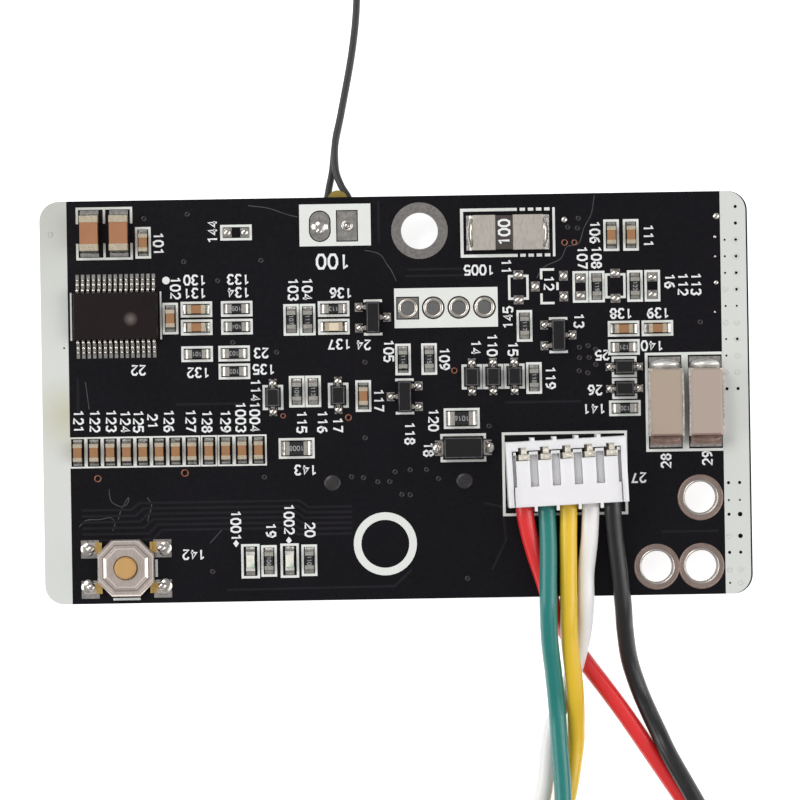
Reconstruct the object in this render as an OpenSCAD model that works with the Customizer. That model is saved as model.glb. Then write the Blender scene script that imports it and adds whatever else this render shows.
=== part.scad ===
// Battery management board: a 65 x 37 mm circuit board with its parts on both faces, a five-wire
// lead in a side-entry connector and a two-wire temperature sensor lead. It lies component side up
// on its power transistors. Origin: on the surface it rests on, under the middle of the board.

/* [Board] */
// Length of the board, along X
board_l = 65; // [65:0.5:70]
// Width of the board, along Y
board_w = 37; // [37:0.5:42]
// Thickness of the laminate
board_t = 1.6; // [0.8:0.1:2.4]
// Radius of the board's corners
corner_r = 1.8; // [0.5:0.1:2.2]

/* [Printed ink] */
// Thickness of the printed ink
ink_t = 0.03; // [0.02:0.01:0.05]
// Width of a printed line
ink_line = 0.22; // [0.15:0.01:0.25]
// Width of the printed strip at each end
strip_w = 2.5; // [2:0.1:2.5]

/* [Plated holes] */
// Thickness of a metal ring on a face of the board
plating_t = 0.05; // [0.03:0.01:0.08]
// Thickness of the copper and tin that line a hole
barrel_t = 0.2; // [0.17:0.01:0.25]
// Bore of the mounting hole
mounting_bore = 3.4; // [3:0.1:3.6]
// Outer diameter of the mounting hole's ring
mounting_ring_d = 5.2; // [4.8:0.1:5.4]
// Bore of the power holes
power_bore = 2.9; // [2.5:0.1:3]
// Outer diameter of a power hole's ring
power_ring_d = 4.2; // [4.15:0.01:4.25]
// Bore of the programming header's holes
header_bore = 1.2; // [0.9:0.05:1.2]
// Distance between the programming header's holes
header_pitch = 2.35; // [2.2:0.05:2.5]
// Width of the square pad and of the round ones
header_pad = 1.9; // [1.7:0.05:2]

/* [Small parts] */
// Height of a part's underside above the board, on its pads
pad_t = 0.05; // [0.03:0.01:0.08]
// Size 0603 part: length
chip_l = 1.6; // [1.5:0.05:1.7]
// Size 0603 part: width
chip_w = 0.8; // [0.7:0.05:0.9]
// Size 0603 part: height of a capacitor
chip_cap_h = 0.8; // [0.5:0.05:0.9]
// Size 0603 part: height of a resistor
chip_res_h = 0.45; // [0.35:0.05:0.6]
// Size 0603 part: length of a metal end
chip_end = 0.35; // [0.2:0.05:0.45]
// Size 0603 part: how far its solder reaches past its end
chip_solder = 0.4; // [0.3:0.05:0.45]
// Size 0805 part: length
mid_l = 2; // [1.9:0.05:2.2]
// Size 0805 part: width
mid_w = 1.25; // [1.1:0.05:1.3]
// Size 1206 part: length
large_l = 3.2; // [3:0.1:3.3]
// Size 1206 part: width
large_w = 1.7; // [1.5:0.1:1.8]
// Size 1206 part: height
large_h = 1.6; // [1:0.1:1.8]
// Spacing of the filter capacitors in their row
filter_pitch = 1.5; // [1.4:0.05:1.5]

/* [Shunt and fuses] */
// Length of the current shunt
shunt_l = 6.4; // [6.2:0.1:6.6]
// Width of the current shunt
shunt_w = 3.2; // [3:0.1:3.4]
// Height of the current shunt
shunt_h = 0.9; // [0.6:0.1:1.2]
// Width of the bare band in the middle of the shunt
shunt_band = 1.6; // [1.2:0.1:2]
// Length of a fuse, with its caps
fuse_l = 6.1; // [5.9:0.1:6.2]
// Width of a fuse
fuse_w = 2.9; // [2.7:0.1:3]
// Height of a fuse
fuse_h = 2.2; // [1.8:0.1:2.7]
// Thickness of a fuse's end cap
fuse_cap = 0.15; // [0.1:0.05:0.3]
// Cut-off edge of a fuse
fuse_edge = 0.2; // [0.1:0.05:0.3]

/* [Monitor chip] */
// Length of the moulded body
monitor_l = 7.8; // [7.6:0.1:8]
// Width of the moulded body
monitor_w = 4.4; // [4.2:0.1:4.5]
// Height of the moulded body
monitor_h = 1; // [0.8:0.1:1.2]
// Spacing of the leads
monitor_pitch = 0.5; // [0.5:0.01:0.52]
// Leads on each long side
monitor_side = 15; // [13:1:15]

/* [Switch] */
// Side of the square switch
switch_s = 5.2; // [5:0.1:5.4]
// Height of the plastic base
switch_base_h = 0.9; // [0.8:0.05:1]
// Thickness of the metal cover
cover_t = 0.2; // [0.15:0.05:0.25]
// Depth of the switch's cavity
cavity_depth = 0.6; // [0.5:0.05:0.65]
// Diameter of the button
button_d = 2; // [1.8:0.1:2.2]
// Height of the button above the cover
button_out = 0.5; // [0.4:0.05:0.8]
// Gap all round between the button and the cover
button_gap = 0.12; // [0.08:0.01:0.2]

/* [Connector] */
// Spacing of the five contacts
pin_pitch = 2; // [1.9:0.05:2]
// How far the connector sits turned in the play of its holes, in degrees
connector_turn = 2.3; // [0:0.1:2.5]
// From the outer contacts' middle to the header's side
header_side = 1.45; // [1.3:0.05:1.6]
// Depth of the header
header_d = 5.95; // [5.9:0.05:6.4]
// Height of the header
header_h = 4.8; // [4.6:0.1:5.2]
// Side wall of the header
header_wall = 0.5; // [0.4:0.05:0.55]
// Floor of the header
header_floor = 0.7; // [0.6:0.05:0.8]
// Back wall of the header
header_back = 0.85; // [0.8:0.05:1]
// Gap between the plug and the header's walls
plug_gap = 0.1; // [0.05:0.01:0.15]
// Square section of a pin
pin_s = 0.5; // [0.4:0.05:0.55]

/* [Back of the board] */
// Height of a power transistor, which the board rests on
mosfet_h = 2.3; // [2.2:0.05:2.5]
// Width of a power transistor's body
mosfet_w = 6.6; // [6.4:0.1:6.8]
// Length of a power transistor's body
mosfet_l = 6.1; // [5.9:0.1:6.3]
// Side of the controller chip's body
controller_s = 7; // [6.8:0.1:7.2]
// Height of the controller chip's body
controller_h = 1.4; // [1:0.1:1.6]
// Length of a balance resistor
balance_l = 5; // [4.8:0.1:5.2]
// Width of a balance resistor
balance_w = 2.5; // [2.3:0.1:2.7]

/* [Leads] */
// Outer diameter of a connector wire
wire_d = 1.6; // [1.5:0.05:1.6]
// Outer diameter of a sensor lead
sensor_d = 0.65; // [0.6:0.01:0.65]
// Radius of a wire coil's outer turn, to the middle of the wire
wire_coil_r = 9.8; // [9.6:0.1:9.9]
// Radius of the sensor coil's outer turn, to the middle of the lead
sensor_coil_r = 4.6; // [4.5:0.05:4.7]

/* [Hidden] */
$fn = 48;
eps = 0.01;

board_bottom = mosfet_h;
board_top = board_bottom + board_t;
chip_z = pad_t;

// Places are given on a board of this size, [x, y, turn in degrees], and spread with the board
layout_size = [65, 37];
function across(x) = x * board_l / layout_size[0];
function up(y) = y * board_w / layout_size[1];
function spread(p) = [across(p[0]), up(p[1]), len(p) > 2 ? p[2] : 0];

capacitor_places = [
    [-23, 14.6, 90], [-20.6, 7.6, 90], [-18.2, 8.4, 0], [-18.2, 6.75, 0], [-5.6, 6.6, 0],
    [20, 14.6, 90], [21.8, 14.6, 90], [21, 6, 0], [24.1, 6, 0], [-3, 0.2, 90]
];
resistor_places = [
    [-14.5, 8.4, 0], [-14.5, 6.75, 0], [-18.2, 4.3, 0], [-14.8, 4.3, 0], [-14.8, 2.65, 0],
    [-9.5, 7.3, 90], [-8, 7.3, 90], [-5.6, 8.25, 0], [0.7, 3.5, 90], [3.1, 3.5, 90],
    [18.6, 9.9, 90], [22.1, 9.9, 90], [11.9, 6.4, 90], [21, 4.3, 0], [12.7, 1.6, 90],
    [21, -1.3, 0], [-9.1, 0.7, 90], [-7.6, 0.7, 90], [-11.9, -14.8, 90], [-8.2, -14.8, 90]
];
mid_resistor_places = [[6, -2, 0], [-9.2, -4.5, 0]];
large_capacitor_places = [[-27.9, 15.5, 90], [-25.2, 15.5, 90]];
diode_places = [
    [-11.3, 0.2, 90], [-5.3, 0.3, 90], [7, 1.8, 90], [8.95, 1.8, 90], [10.9, 1.8, 90],
    [21, 2.5, 0], [21, 0.5, 0]
];
transistor_places = [[-2, 7.4, 0], [15, 5.5, 0], [0.8, 0.1, 180]];
clamp_place = [6.1, -4.7, 0];
lamp_places = [[-13.6, -14.8, 90], [-10, -14.8, 90]];
filter_y = -4.6;
filter_groups = [[-29.3, 8], [-17.25, 1], [-15.7, 3]];
filter_places = [
    for (g = filter_groups) for (i = [0:g[1] - 1]) [g[0] + i * filter_pitch, filter_y, 90]
];
shunt_place = [10.5, 15, 0];
fuse_y = -0.8;
fuse_places = [[24.7, fuse_y, 90], [28.4, fuse_y, 90]];
monitor_place = [-25.6, 7.9, 0];
switch_place = [-25, -15.2, 0];
connector_place = [15.45, -7];

// Plated holes and unused places
mounting_place = [2.4, 15.3];
power_places = [[27.8, -9.6], [23.7, -15.9], [27.8, -15.9]];
header_place = [1.2, 8.2];
header_places = [for (i = [0:3]) [header_place[0] + i * header_pitch, header_place[1]]];
sensor_place = [-5.5, 15.85];
sensor_pitch = 2.5;
sensor_pad = [1.8, 2.7];
sensor_places = [for (s = [-0.5, 0.5]) [sensor_place[0] + s * sensor_pitch, sensor_place[1]]];
ring_mark_place = [-1.2, -13.4];
spare_chip_places = [[-14.45, 15.4, 0], [17.1, 9.9, 90], [23.7, 9.9, 90]];
spare_diode_places = [[11.4, 9.95, 90], [20.3, 9.95, 90]];
spare_transistor_place = [14.25, 10, 0];

// ---- helpers ----

module on_top(p) {
    translate([spread(p)[0], spread(p)[1], board_top]) rotate([0, 0, spread(p)[2]]) children();
}

// The back face: children are drawn as if on top and hang from the board
module on_back(p) {
    translate([spread(p)[0], spread(p)[1], board_bottom]) rotate([0, 0, spread(p)[2]])
        mirror([0, 0, 1]) children();
}

module block(l, w, h, z = 0) {
    translate([-l / 2, -w / 2, z]) cube([l, w, h]);
}

module both_ends() {
    children();
    mirror([1, 0, 0]) children();
}

// Rectangle with its corners cut off
module cut_rectangle(l, w, cut) {
    polygon([
        [cut - l / 2, -w / 2], [l / 2 - cut, -w / 2], [l / 2, cut - w / 2], [l / 2, w / 2 - cut],
        [l / 2 - cut, w / 2], [cut - l / 2, w / 2], [-l / 2, w / 2 - cut], [-l / 2, cut - w / 2]
    ]);
}

// Oval that stands upright in Y
module oval(w, l) {
    square([w, l - w], center = true);
    for (s = [-0.5, 0.5]) translate([0, s * (l - w)]) circle(d = w);
}

// Moulded body: four sides that lean in above and below the parting line
module moulded_body(l, w, h, draft) {
    module section(s) {
        polygon([
            [-s / 2 + draft, 0], [s / 2 - draft, 0], [s / 2, h / 2],
            [s / 2 - draft, h], [-s / 2 + draft, h], [-s / 2, h / 2]
        ]);
    }
    intersection() {
        translate([0, w / 2, 0]) rotate([90, 0, 0]) linear_extrude(w) section(l);
        translate([-l / 2, 0, 0]) rotate([90, 0, 90]) linear_extrude(l) section(w);
    }
}

// Lead that leaves a body at x = 0 and height rise, and ends in a foot at x = reach
module gull_lead(reach, foot, rise, w, t) {
    heel = reach - foot;
    shoulder = heel * 0.4;
    translate([0, w / 2, 0]) rotate([90, 0, 0]) linear_extrude(w) polygon([
        [0, rise], [shoulder, rise], [heel, 0], [reach, 0],
        [reach, t], [heel + t / 2, t], [shoulder + t / 2, rise + t], [0, rise + t]
    ]);
}

// Pad and concave solder fillet past the end of a part of length l, on both ends
module end_joints(l, w, h, out, under) {
    both_ends() {
        translate([l / 2 - under, -w / 2, 0]) cube([under + out, w, pad_t]);
        translate([l / 2, w / 2, pad_t]) rotate([90, 0, 0]) linear_extrude(w) polygon([
            [0, 0], [out, 0], [out * 0.55, h * 0.1], [out * 0.2, h * 0.3], [0, h * 0.65]
        ]);
    }
}

// Two metal ends of a chip part and the ceramic between them
module chip_ends(l, w, h, end_l) {
    both_ends() translate([l / 2 - end_l, -w / 2, chip_z]) cube([end_l, w, h]);
}
body_inset = 0.03;
module chip_middle(l, w, h, end_l) {
    block(l - 2 * end_l, w - 2 * body_inset, h - body_inset, chip_z);
}

module frame(l, w, line = ink_line) {
    difference() {
        block(l, w, ink_t);
        block(l - 2 * line, w - 2 * line, ink_t + 2 * eps, -eps);
    }
}

// ---- board ----

module board_outline() {
    translate([corner_r - board_l / 2, corner_r - board_w / 2])
        rounded_rectangle(board_l - 2 * corner_r, board_w - 2 * corner_r);
}

// Rectangle with rounded corners, as a union of exact shapes
module rounded_rectangle(l, w) {
    translate([-corner_r, 0]) square([l + 2 * corner_r, w]);
    translate([0, -corner_r]) square([l, w + 2 * corner_r]);
    for (x = [0, l], y = [0, w]) translate([x, y]) circle(corner_r);
}

module drill(p, d) {
    translate([spread(p)[0], spread(p)[1], board_bottom - eps]) cylinder(d = d, h = board_t + 2 * eps);
}

module connector_frame() {
    on_top(connector_place) rotate([0, 0, connector_turn]) children();
}
function pin_x(i) = (i - 2) * pin_pitch;
pin_y = header_d / 2 - header_back / 2;
pin_hole = 0.9;

module circuit_board() {
    color([0.1, 0.1, 0.12]) difference() {
        translate([0, 0, board_bottom]) linear_extrude(board_t) board_outline();
        drill(mounting_place, mounting_bore + 2 * barrel_t);
        for (p = power_places) drill(p, power_bore + 2 * barrel_t);
        for (p = header_places) drill(p, header_bore + 2 * barrel_t);
        for (p = sensor_places) drill(p, sensor_hole);
        connector_frame() for (i = [0:4])
            translate([pin_x(i), pin_y, -board_t - eps]) cylinder(d = pin_hole, h = board_t + 2 * eps);
    }
}

// Plated hole: a lined wall with a flat ring on both faces
module plated_hole(p, bore, ring_d) {
    translate([spread(p)[0], spread(p)[1], board_bottom]) difference() {
        union() {
            cylinder(d = bore + 2 * barrel_t, h = board_t);
            translate([0, 0, -plating_t]) cylinder(d = ring_d, h = plating_t);
            translate([0, 0, board_t]) cylinder(d = ring_d, h = plating_t);
        }
        translate([0, 0, -1]) cylinder(d = bore, h = board_t + 2);
    }
}

module mounting_ring() {
    color([0.62, 0.61, 0.6]) plated_hole(mounting_place, mounting_bore, mounting_ring_d);
}

module power_rings() {
    color([0.47, 0.4, 0.38]) difference() {
        for (p = power_places) plated_hole(p, power_bore, power_ring_d);
        for (p = power_places) drill_through(p, power_bore);
    }
}

module drill_through(p, d) {
    translate([spread(p)[0], spread(p)[1], board_bottom - 1]) cylinder(d = d, h = board_t + 2);
}

module header_rings() {
    color([0.55, 0.54, 0.53]) {
        difference() {
            union() {
                plated_hole(header_places[0], header_bore, header_bore + 2 * barrel_t);
                on_top(header_places[0]) block(header_pad, header_pad, plating_t);
                on_back(header_places[0]) block(header_pad, header_pad, plating_t);
            }
            drill_through(header_places[0], header_bore);
        }
        for (i = [1:3]) plated_hole(header_places[i], header_bore, header_pad);
    }
}

// ---- sensor pads, unused places and solder ----

sensor_hole = 1;
sensor_cone = [1.6, 0.5, 0.6];
rim_h = 0.12;

// Low mound of solder over a pad
module mound(d, h) {
    r = (d * d / 4 + h * h) / (2 * h);
    intersection() {
        translate([0, 0, h - r]) sphere(r);
        cylinder(d = d + 1, h = h + 1);
    }
}

module sensor_pads() {
    color([0.6, 0.59, 0.57]) {
        // Solder fills each hole and stands as a cone behind the board
        for (p = sensor_places) {
            on_top(p) translate([0, 0, -board_t]) cylinder(d = sensor_hole, h = board_t);
            on_back(p) cylinder(d1 = sensor_cone[0], d2 = sensor_cone[1], h = sensor_cone[2]);
        }
        on_top(sensor_places[0]) {
            linear_extrude(pad_t) oval(sensor_pad[0], sensor_pad[1]);
            translate([0, 0, pad_t]) mound(sensor_pad[0] - 0.2, 0.35);
        }
        on_top(sensor_places[1]) {
            block(sensor_pad[0], sensor_pad[1], pad_t);
            difference() {
                cylinder(d = sensor_hole + 0.1, h = pad_t + rim_h);
                translate([0, 0, pad_t]) cylinder(d = sensor_hole - 0.4, h = 1);
            }
        }
    }
}

spare_pad = [0.8, 0.9];
module spare_pad_at(x, y) {
    translate([x, y, 0]) {
        block(spare_pad[0], spare_pad[1], pad_t);
        translate([0, 0, pad_t]) mound(0.75, 0.22);
    }
}

module spare_pads() {
    color([0.75, 0.74, 0.72]) {
        for (p = spare_chip_places) on_top(p) both_ends() spare_pad_at(chip_l / 2, 0);
        for (p = spare_diode_places) on_top(p) both_ends() spare_pad_at(diode_l / 2 + 0.3, 0);
        on_top(spare_transistor_place) {
            spare_pad_at(-transistor_span / 2, 0);
            for (y = [-1, 1]) spare_pad_at(transistor_span / 2, y * transistor_pitch);
        }
    }
}

large_solder = 0.55;
shunt_solder = 0.6;
fuse_solder = 1.1;
fuse_pad = 0.9;
switch_pad_drop = 0.13;
pin_cone = [0.85, 1.5, 0.6];
module solder_joints() {
    color([0.7, 0.7, 0.7]) {
        for (p = concat(capacitor_places, filter_places))
            on_top(p) end_joints(chip_l, chip_w, chip_cap_h, chip_solder, chip_end);
        for (p = resistor_places)
            on_top(p) end_joints(chip_l, chip_w, chip_res_h, chip_solder, chip_end);
        for (p = mid_resistor_places)
            on_top(p) end_joints(mid_l, mid_w, mid_h, chip_solder, chip_end);
        for (p = large_capacitor_places)
            on_top(p) end_joints(large_l, large_w, large_h, large_solder, large_end);
        for (p = lamp_places) on_top(p) end_joints(lamp_l, chip_w, lamp_h, chip_solder, chip_end);
        on_top(shunt_place) end_joints(shunt_l, shunt_w, shunt_h, shunt_solder, 1);
        for (p = fuse_places) on_top(p) end_joints(fuse_l, fuse_w, fuse_h, fuse_solder, fuse_pad);
        on_top(monitor_place) for (i = [0:monitor_side - 1], s = [-1, 1])
            translate([monitor_x(i), s * monitor_pad_y, 0]) block(monitor_pad[0], monitor_pad[1], pad_t);
        for (p = diode_places) on_top(p) both_ends()
            translate([diode_l / 2 + 0.1, -0.35, 0]) cube([0.75, 0.7, pad_t]);
        for (p = transistor_places) on_top(p) {
            translate([transistor_span / 2 - 0.35, -0.4, 0]) cube([0.7, 0.8, pad_t]);
            for (y = [-1, 1]) translate([-transistor_span / 2 - 0.35, y * transistor_pitch - 0.4, 0])
                cube([0.7, 0.8, pad_t]);
        }
        on_top(clamp_place) both_ends()
            translate([clamp_l / 2 + 0.05, -0.7, 0]) cube([0.7, 1.4, pad_t]);
        on_top(switch_place) both_ends() for (y = [-switch_foot_y, switch_foot_y])
            translate([switch_foot_x + 0.3, y - switch_pad_drop - switch_pad / 2, 0])
                cube([switch_pad, switch_pad, pad_t]);
        // Solder cones round the pin ends behind the board
        connector_frame() for (i = [0:4]) translate([pin_x(i), pin_y, -board_t - pin_cone[2]])
            difference() {
                cylinder(d1 = pin_cone[0], d2 = pin_cone[1], h = pin_cone[2]);
                block(pin_s, pin_s, 1, -0.1);
            }
    }
}

// ---- monitor chip ----

monitor_pad = [0.3, 1.4];
monitor_reach = 1;
monitor_z = 0.1;
monitor_pad_y = monitor_w / 2 + monitor_reach - 0.05;
function monitor_x(i) = (i - (monitor_side - 1) / 2) * monitor_pitch;

module monitor_chip() {
    color([0.13, 0.1, 0.1]) on_top(monitor_place) translate([0, 0, monitor_z]) difference() {
        moulded_body(monitor_l, monitor_w, monitor_h, 0.12);
        translate([monitor_l / 2 - 0.9, monitor_w / 2 - 0.8, monitor_h - 0.05]) cylinder(d = 0.8, h = 1);
    }
}

module monitor_chip_leads() {
    lead_t = 0.15;
    rise = monitor_z + monitor_h / 2 - pad_t - lead_t / 2;
    color([0.75, 0.75, 0.75]) on_top(monitor_place)
        for (i = [0:monitor_side - 1], s = [-1, 1])
            translate([monitor_x(i), s * monitor_w / 2, pad_t])
                rotate([0, 0, s * 90]) gull_lead(monitor_reach, 0.6, rise, 0.22, lead_t);
}

// ---- chip parts ----

large_end = 0.6;
mid_h = 0.5;

module large_capacitors() {
    color([0.74, 0.5, 0.34]) for (p = large_capacitor_places) on_top(p)
        chip_middle(large_l, large_w, large_h, large_end);
}

module large_capacitor_ends() {
    color([0.72, 0.69, 0.62]) for (p = large_capacitor_places) on_top(p)
        chip_ends(large_l, large_w, large_h, large_end);
}

module small_capacitors() {
    color([0.78, 0.56, 0.36]) for (p = concat(capacitor_places, filter_places)) on_top(p)
        chip_middle(chip_l, chip_w, chip_cap_h, chip_end);
}

module small_capacitor_ends() {
    color([0.7, 0.68, 0.63]) for (p = concat(capacitor_places, filter_places)) on_top(p)
        chip_ends(chip_l, chip_w, chip_cap_h, chip_end);
}

module chip_resistors() {
    color([0.12, 0.12, 0.12]) {
        for (p = resistor_places) on_top(p) chip_middle(chip_l, chip_w, chip_res_h, chip_end);
        for (p = mid_resistor_places) on_top(p) chip_middle(mid_l, mid_w, mid_h, chip_end);
    }
}

module chip_resistor_ends() {
    color([0.68, 0.68, 0.68]) {
        for (p = resistor_places) on_top(p) chip_ends(chip_l, chip_w, chip_res_h, chip_end);
        for (p = mid_resistor_places) on_top(p) chip_ends(mid_l, mid_w, mid_h, chip_end);
    }
}

shunt_band_x = -0.35;

module shunt_element() {
    color([0.2, 0.18, 0.16]) on_top(shunt_place) translate([shunt_band_x, 0, 0])
        block(shunt_band, shunt_w - 0.1, shunt_h - 0.06, chip_z + 0.1);
}

module shunt_terminals() {
    color([0.76, 0.73, 0.7]) on_top(shunt_place) difference() {
        block(shunt_l, shunt_w, shunt_h, chip_z);
        translate([shunt_band_x, 0, 0]) block(shunt_band, shunt_w + 1, shunt_h + 1);
    }
}

// Slice of a fuse's length, from its distance to the left end
module fuse_slice(start, l) {
    translate([start - fuse_l / 2, 0, chip_z + fuse_h / 2]) rotate([90, 0, 90]) linear_extrude(l)
        cut_rectangle(fuse_w, fuse_h, fuse_edge);
}

module fuse_bodies() {
    color([0.7, 0.64, 0.6]) for (p = fuse_places) on_top(p) fuse_slice(fuse_cap, fuse_l - 2 * fuse_cap);
}

module fuse_caps() {
    color([0.72, 0.7, 0.68]) for (p = fuse_places) on_top(p) both_ends() fuse_slice(0, fuse_cap);
}

// ---- diodes, transistors, lamps ----

diode_l = 1.7;
diode_w = 1.25;
diode_h = 0.9;
transistor_l = 2.9;
transistor_w = 1.3;
transistor_h = 1;
transistor_span = 2.6;
transistor_pitch = 0.95;
clamp_l = 3.7;
clamp_w = 2.1;
clamp_h = 1.1;
lamp_l = 1.8;
lamp_h = 0.6;
standoff = 0.08;

module small_diodes() {
    color([0.13, 0.12, 0.14]) for (p = diode_places) on_top(p)
        translate([0, 0, standoff]) moulded_body(diode_l, diode_w, diode_h, 0.1);
}

module small_diode_leads() {
    color([0.72, 0.7, 0.68]) for (p = diode_places) on_top(p) both_ends()
        translate([diode_l / 2, 0, pad_t]) gull_lead(0.5, 0.35, 0.4, 0.35, 0.12);
}

module transistors() {
    color([0.13, 0.12, 0.14]) for (p = transistor_places) on_top(p)
        translate([0, 0, standoff]) moulded_body(transistor_w, transistor_l, transistor_h, 0.1);
}

module transistor_leads() {
    reach = 0.6;
    color([0.72, 0.7, 0.68]) for (p = transistor_places) on_top(p) {
        translate([transistor_w / 2, 0, pad_t]) gull_lead(reach, 0.4, 0.45, 0.42, 0.12);
        for (y = [-1, 1]) translate([-transistor_w / 2, y * transistor_pitch, pad_t])
            rotate([0, 0, 180]) gull_lead(reach, 0.4, 0.45, 0.42, 0.12);
    }
}

module clamp_diode() {
    color([0.13, 0.12, 0.13]) on_top(clamp_place)
        translate([0, 0, standoff]) moulded_body(clamp_l, clamp_w, clamp_h, 0.15);
}

module clamp_diode_leads() {
    color([0.7, 0.68, 0.66]) on_top(clamp_place) both_ends()
        translate([clamp_l / 2, 0, pad_t]) gull_lead(0.7, 0.5, 0.5, 1.1, 0.15);
}

module indicator_lamps() {
    color([0.85, 0.85, 0.75]) for (p = lamp_places) on_top(p) chip_middle(lamp_l, chip_w, lamp_h, chip_end);
}

module indicator_lamp_ends() {
    color([0.75, 0.74, 0.7]) for (p = lamp_places) on_top(p) chip_ends(lamp_l, chip_w, 0.3, chip_end);
}

// ---- switch: base, snap dome, button with a flange under the cover, cover ----

switch_inner = switch_s - 2 * cover_t;
corner_cut = 1.3;
octagon_s = 4.1;
octagon_cut = 1.1;
octagon_rise = 0.2;
octagon_lean = 0.3;
cover_lean = 0.12;
cavity_d = 3.8;
button_flange_d = 2.9;
dome_d = 3.6;
dome_t = 0.08;
dome_rise = 0.32;
button_travel = 0.25;
switch_foot_x = 2.2;
switch_foot_y = 1.85;
switch_foot = [1.7, 1, 0.2];
switch_pad = 1.65;
cover_top = pad_t + switch_base_h + octagon_rise + cover_t;

// Octagon whose eight sides lean in
module leaning_octagon(s, cut, h, lean) {
    module ridge(w) {
        translate([-s, 0, 0]) rotate([90, 0, 90]) linear_extrude(2 * s)
            polygon([[-w / 2, 0], [w / 2, 0], [w / 2 - lean, h], [lean - w / 2, h]]);
    }
    diagonal = sqrt(2) * (s - cut);
    intersection() {
        ridge(s);
        rotate([0, 0, 90]) ridge(s);
        rotate([0, 0, 45]) ridge(diagonal);
        rotate([0, 0, 135]) ridge(diagonal);
    }
}

module switch_base() {
    color([0.16, 0.15, 0.15]) on_top(switch_place) translate([0, 0, pad_t]) difference() {
        linear_extrude(switch_base_h) cut_rectangle(switch_inner, switch_inner, corner_cut);
        translate([0, 0, switch_base_h - cavity_depth]) cylinder(d = cavity_d, h = cavity_depth + 1);
    }
}

module switch_cover() {
    color([0.72, 0.67, 0.66]) on_top(switch_place) translate([0, 0, pad_t + switch_base_h]) difference() {
        union() {
            leaning_octagon(switch_s, corner_cut, cover_t, cover_lean);
            translate([0, 0, cover_t])
                leaning_octagon(octagon_s, octagon_cut, octagon_rise, octagon_lean);
        }
        translate([0, 0, -eps]) cylinder(d = button_flange_d + 2 * button_gap, h = octagon_rise + eps);
        cylinder(d = button_d + 2 * button_gap, h = 2);
    }
}

module switch_button() {
    seat = switch_base_h - cavity_depth + dome_rise + dome_t + 0.01;
    flange_top = switch_base_h + octagon_rise - 0.05;
    edge = 0.15;
    rim = cover_top - pad_t + button_out - edge;
    color([0.8, 0.65, 0.38]) on_top(switch_place) translate([0, 0, pad_t]) {
        translate([0, 0, seat]) cylinder(d = button_flange_d, h = flange_top - seat);
        translate([0, 0, flange_top]) cylinder(d = button_d, h = rim - flange_top);
        translate([0, 0, rim]) cylinder(d1 = button_d, d2 = button_d - 2 * edge, h = edge);
    }
}

module switch_dome() {
    r = (dome_d * dome_d / 4 + dome_rise * dome_rise) / (2 * dome_rise);
    half = asin(dome_d / 2 / r);
    steps = 8;
    function arc(radius, a) = [radius * sin(a), radius * cos(a) - r + dome_rise];
    color([0.75, 0.75, 0.72]) on_top(switch_place)
        translate([0, 0, pad_t + switch_base_h - cavity_depth])
            rotate_extrude() polygon(concat(
                [for (i = [0:steps]) arc(r, i * half / steps)],
                [for (i = [steps:-1:0]) arc(r + dome_t, i * half / steps)]
            ));
}

module switch_terminals() {
    color([0.74, 0.73, 0.72]) on_top(switch_place) both_ends() for (y = [-1, 1]) {
        translate([switch_foot_x, y * switch_foot_y - switch_foot[1] / 2, pad_t]) {
            cube(switch_foot);
            cube([switch_foot[2], switch_foot[1], switch_base_h - 0.3]);
        }
    }
}

// ---- connector: open-topped header, bent pins, plug with its crimp contacts ----

pin_z = 2.45;
pin_tail = 1;
pin_tip_y = -0.8;
contact_s = 1.2;
contact_clear = 0.05;
contact_rear_y = -1.5;
header_w = 4 * pin_pitch + 2 * header_side;
plug_front_y = header_d / 2 - header_back - plug_gap;
plug_w = header_w - 2 * header_wall - 2 * plug_gap;
finger_w = 1.25;
slot_y = [-1.15, 1.75];
slot_depth = 1.2;
window_l = 0.8;
window_w = 1.2;
notch = [0.75, 0.3];
rib_w = 0.25;
rib_out = 0.45;
nub_w = 0.35;
nub_out = 0.3;

module in_connector() {
    connector_frame() translate([0, 0, pad_t]) children();
}

module bent_pin(i, s) {
    translate([pin_x(i) - s / 2, pin_y - s / 2, -pad_t - board_t - pin_tail])
        cube([s, s, pad_t + board_t + pin_tail + pin_z + s / 2]);
    translate([pin_x(i) - s / 2, pin_tip_y, pin_z - s / 2]) cube([s, pin_y - pin_tip_y, s]);
}

module connector_header() {
    wall_y = header_d / 2 - header_back;
    color([0.93, 0.93, 0.93]) in_connector() difference() {
        union() {
            block(header_w, header_d, header_h);
            for (i = [0:3]) translate([pin_x(i + 0.5) - nub_w / 2, header_d / 2 - eps, 0])
                cube([nub_w, nub_out + eps, header_h]);
        }
        translate([-header_w / 2 + header_wall, -header_d, header_floor])
            cube([header_w - 2 * header_wall, header_d + wall_y, header_h]);
        // Notch over each pin, in the back wall
        for (i = [0:4]) {
            bent_pin(i, pin_s);
            translate([pin_x(i) - notch[0] / 2, wall_y - eps, pin_z + pin_s / 2])
                cube([notch[0], notch[1] + eps, header_h]);
        }
    }
}

module connector_pins() {
    color([0.8, 0.78, 0.72]) in_connector() for (i = [0:4]) bent_pin(i, pin_s);
}

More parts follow.
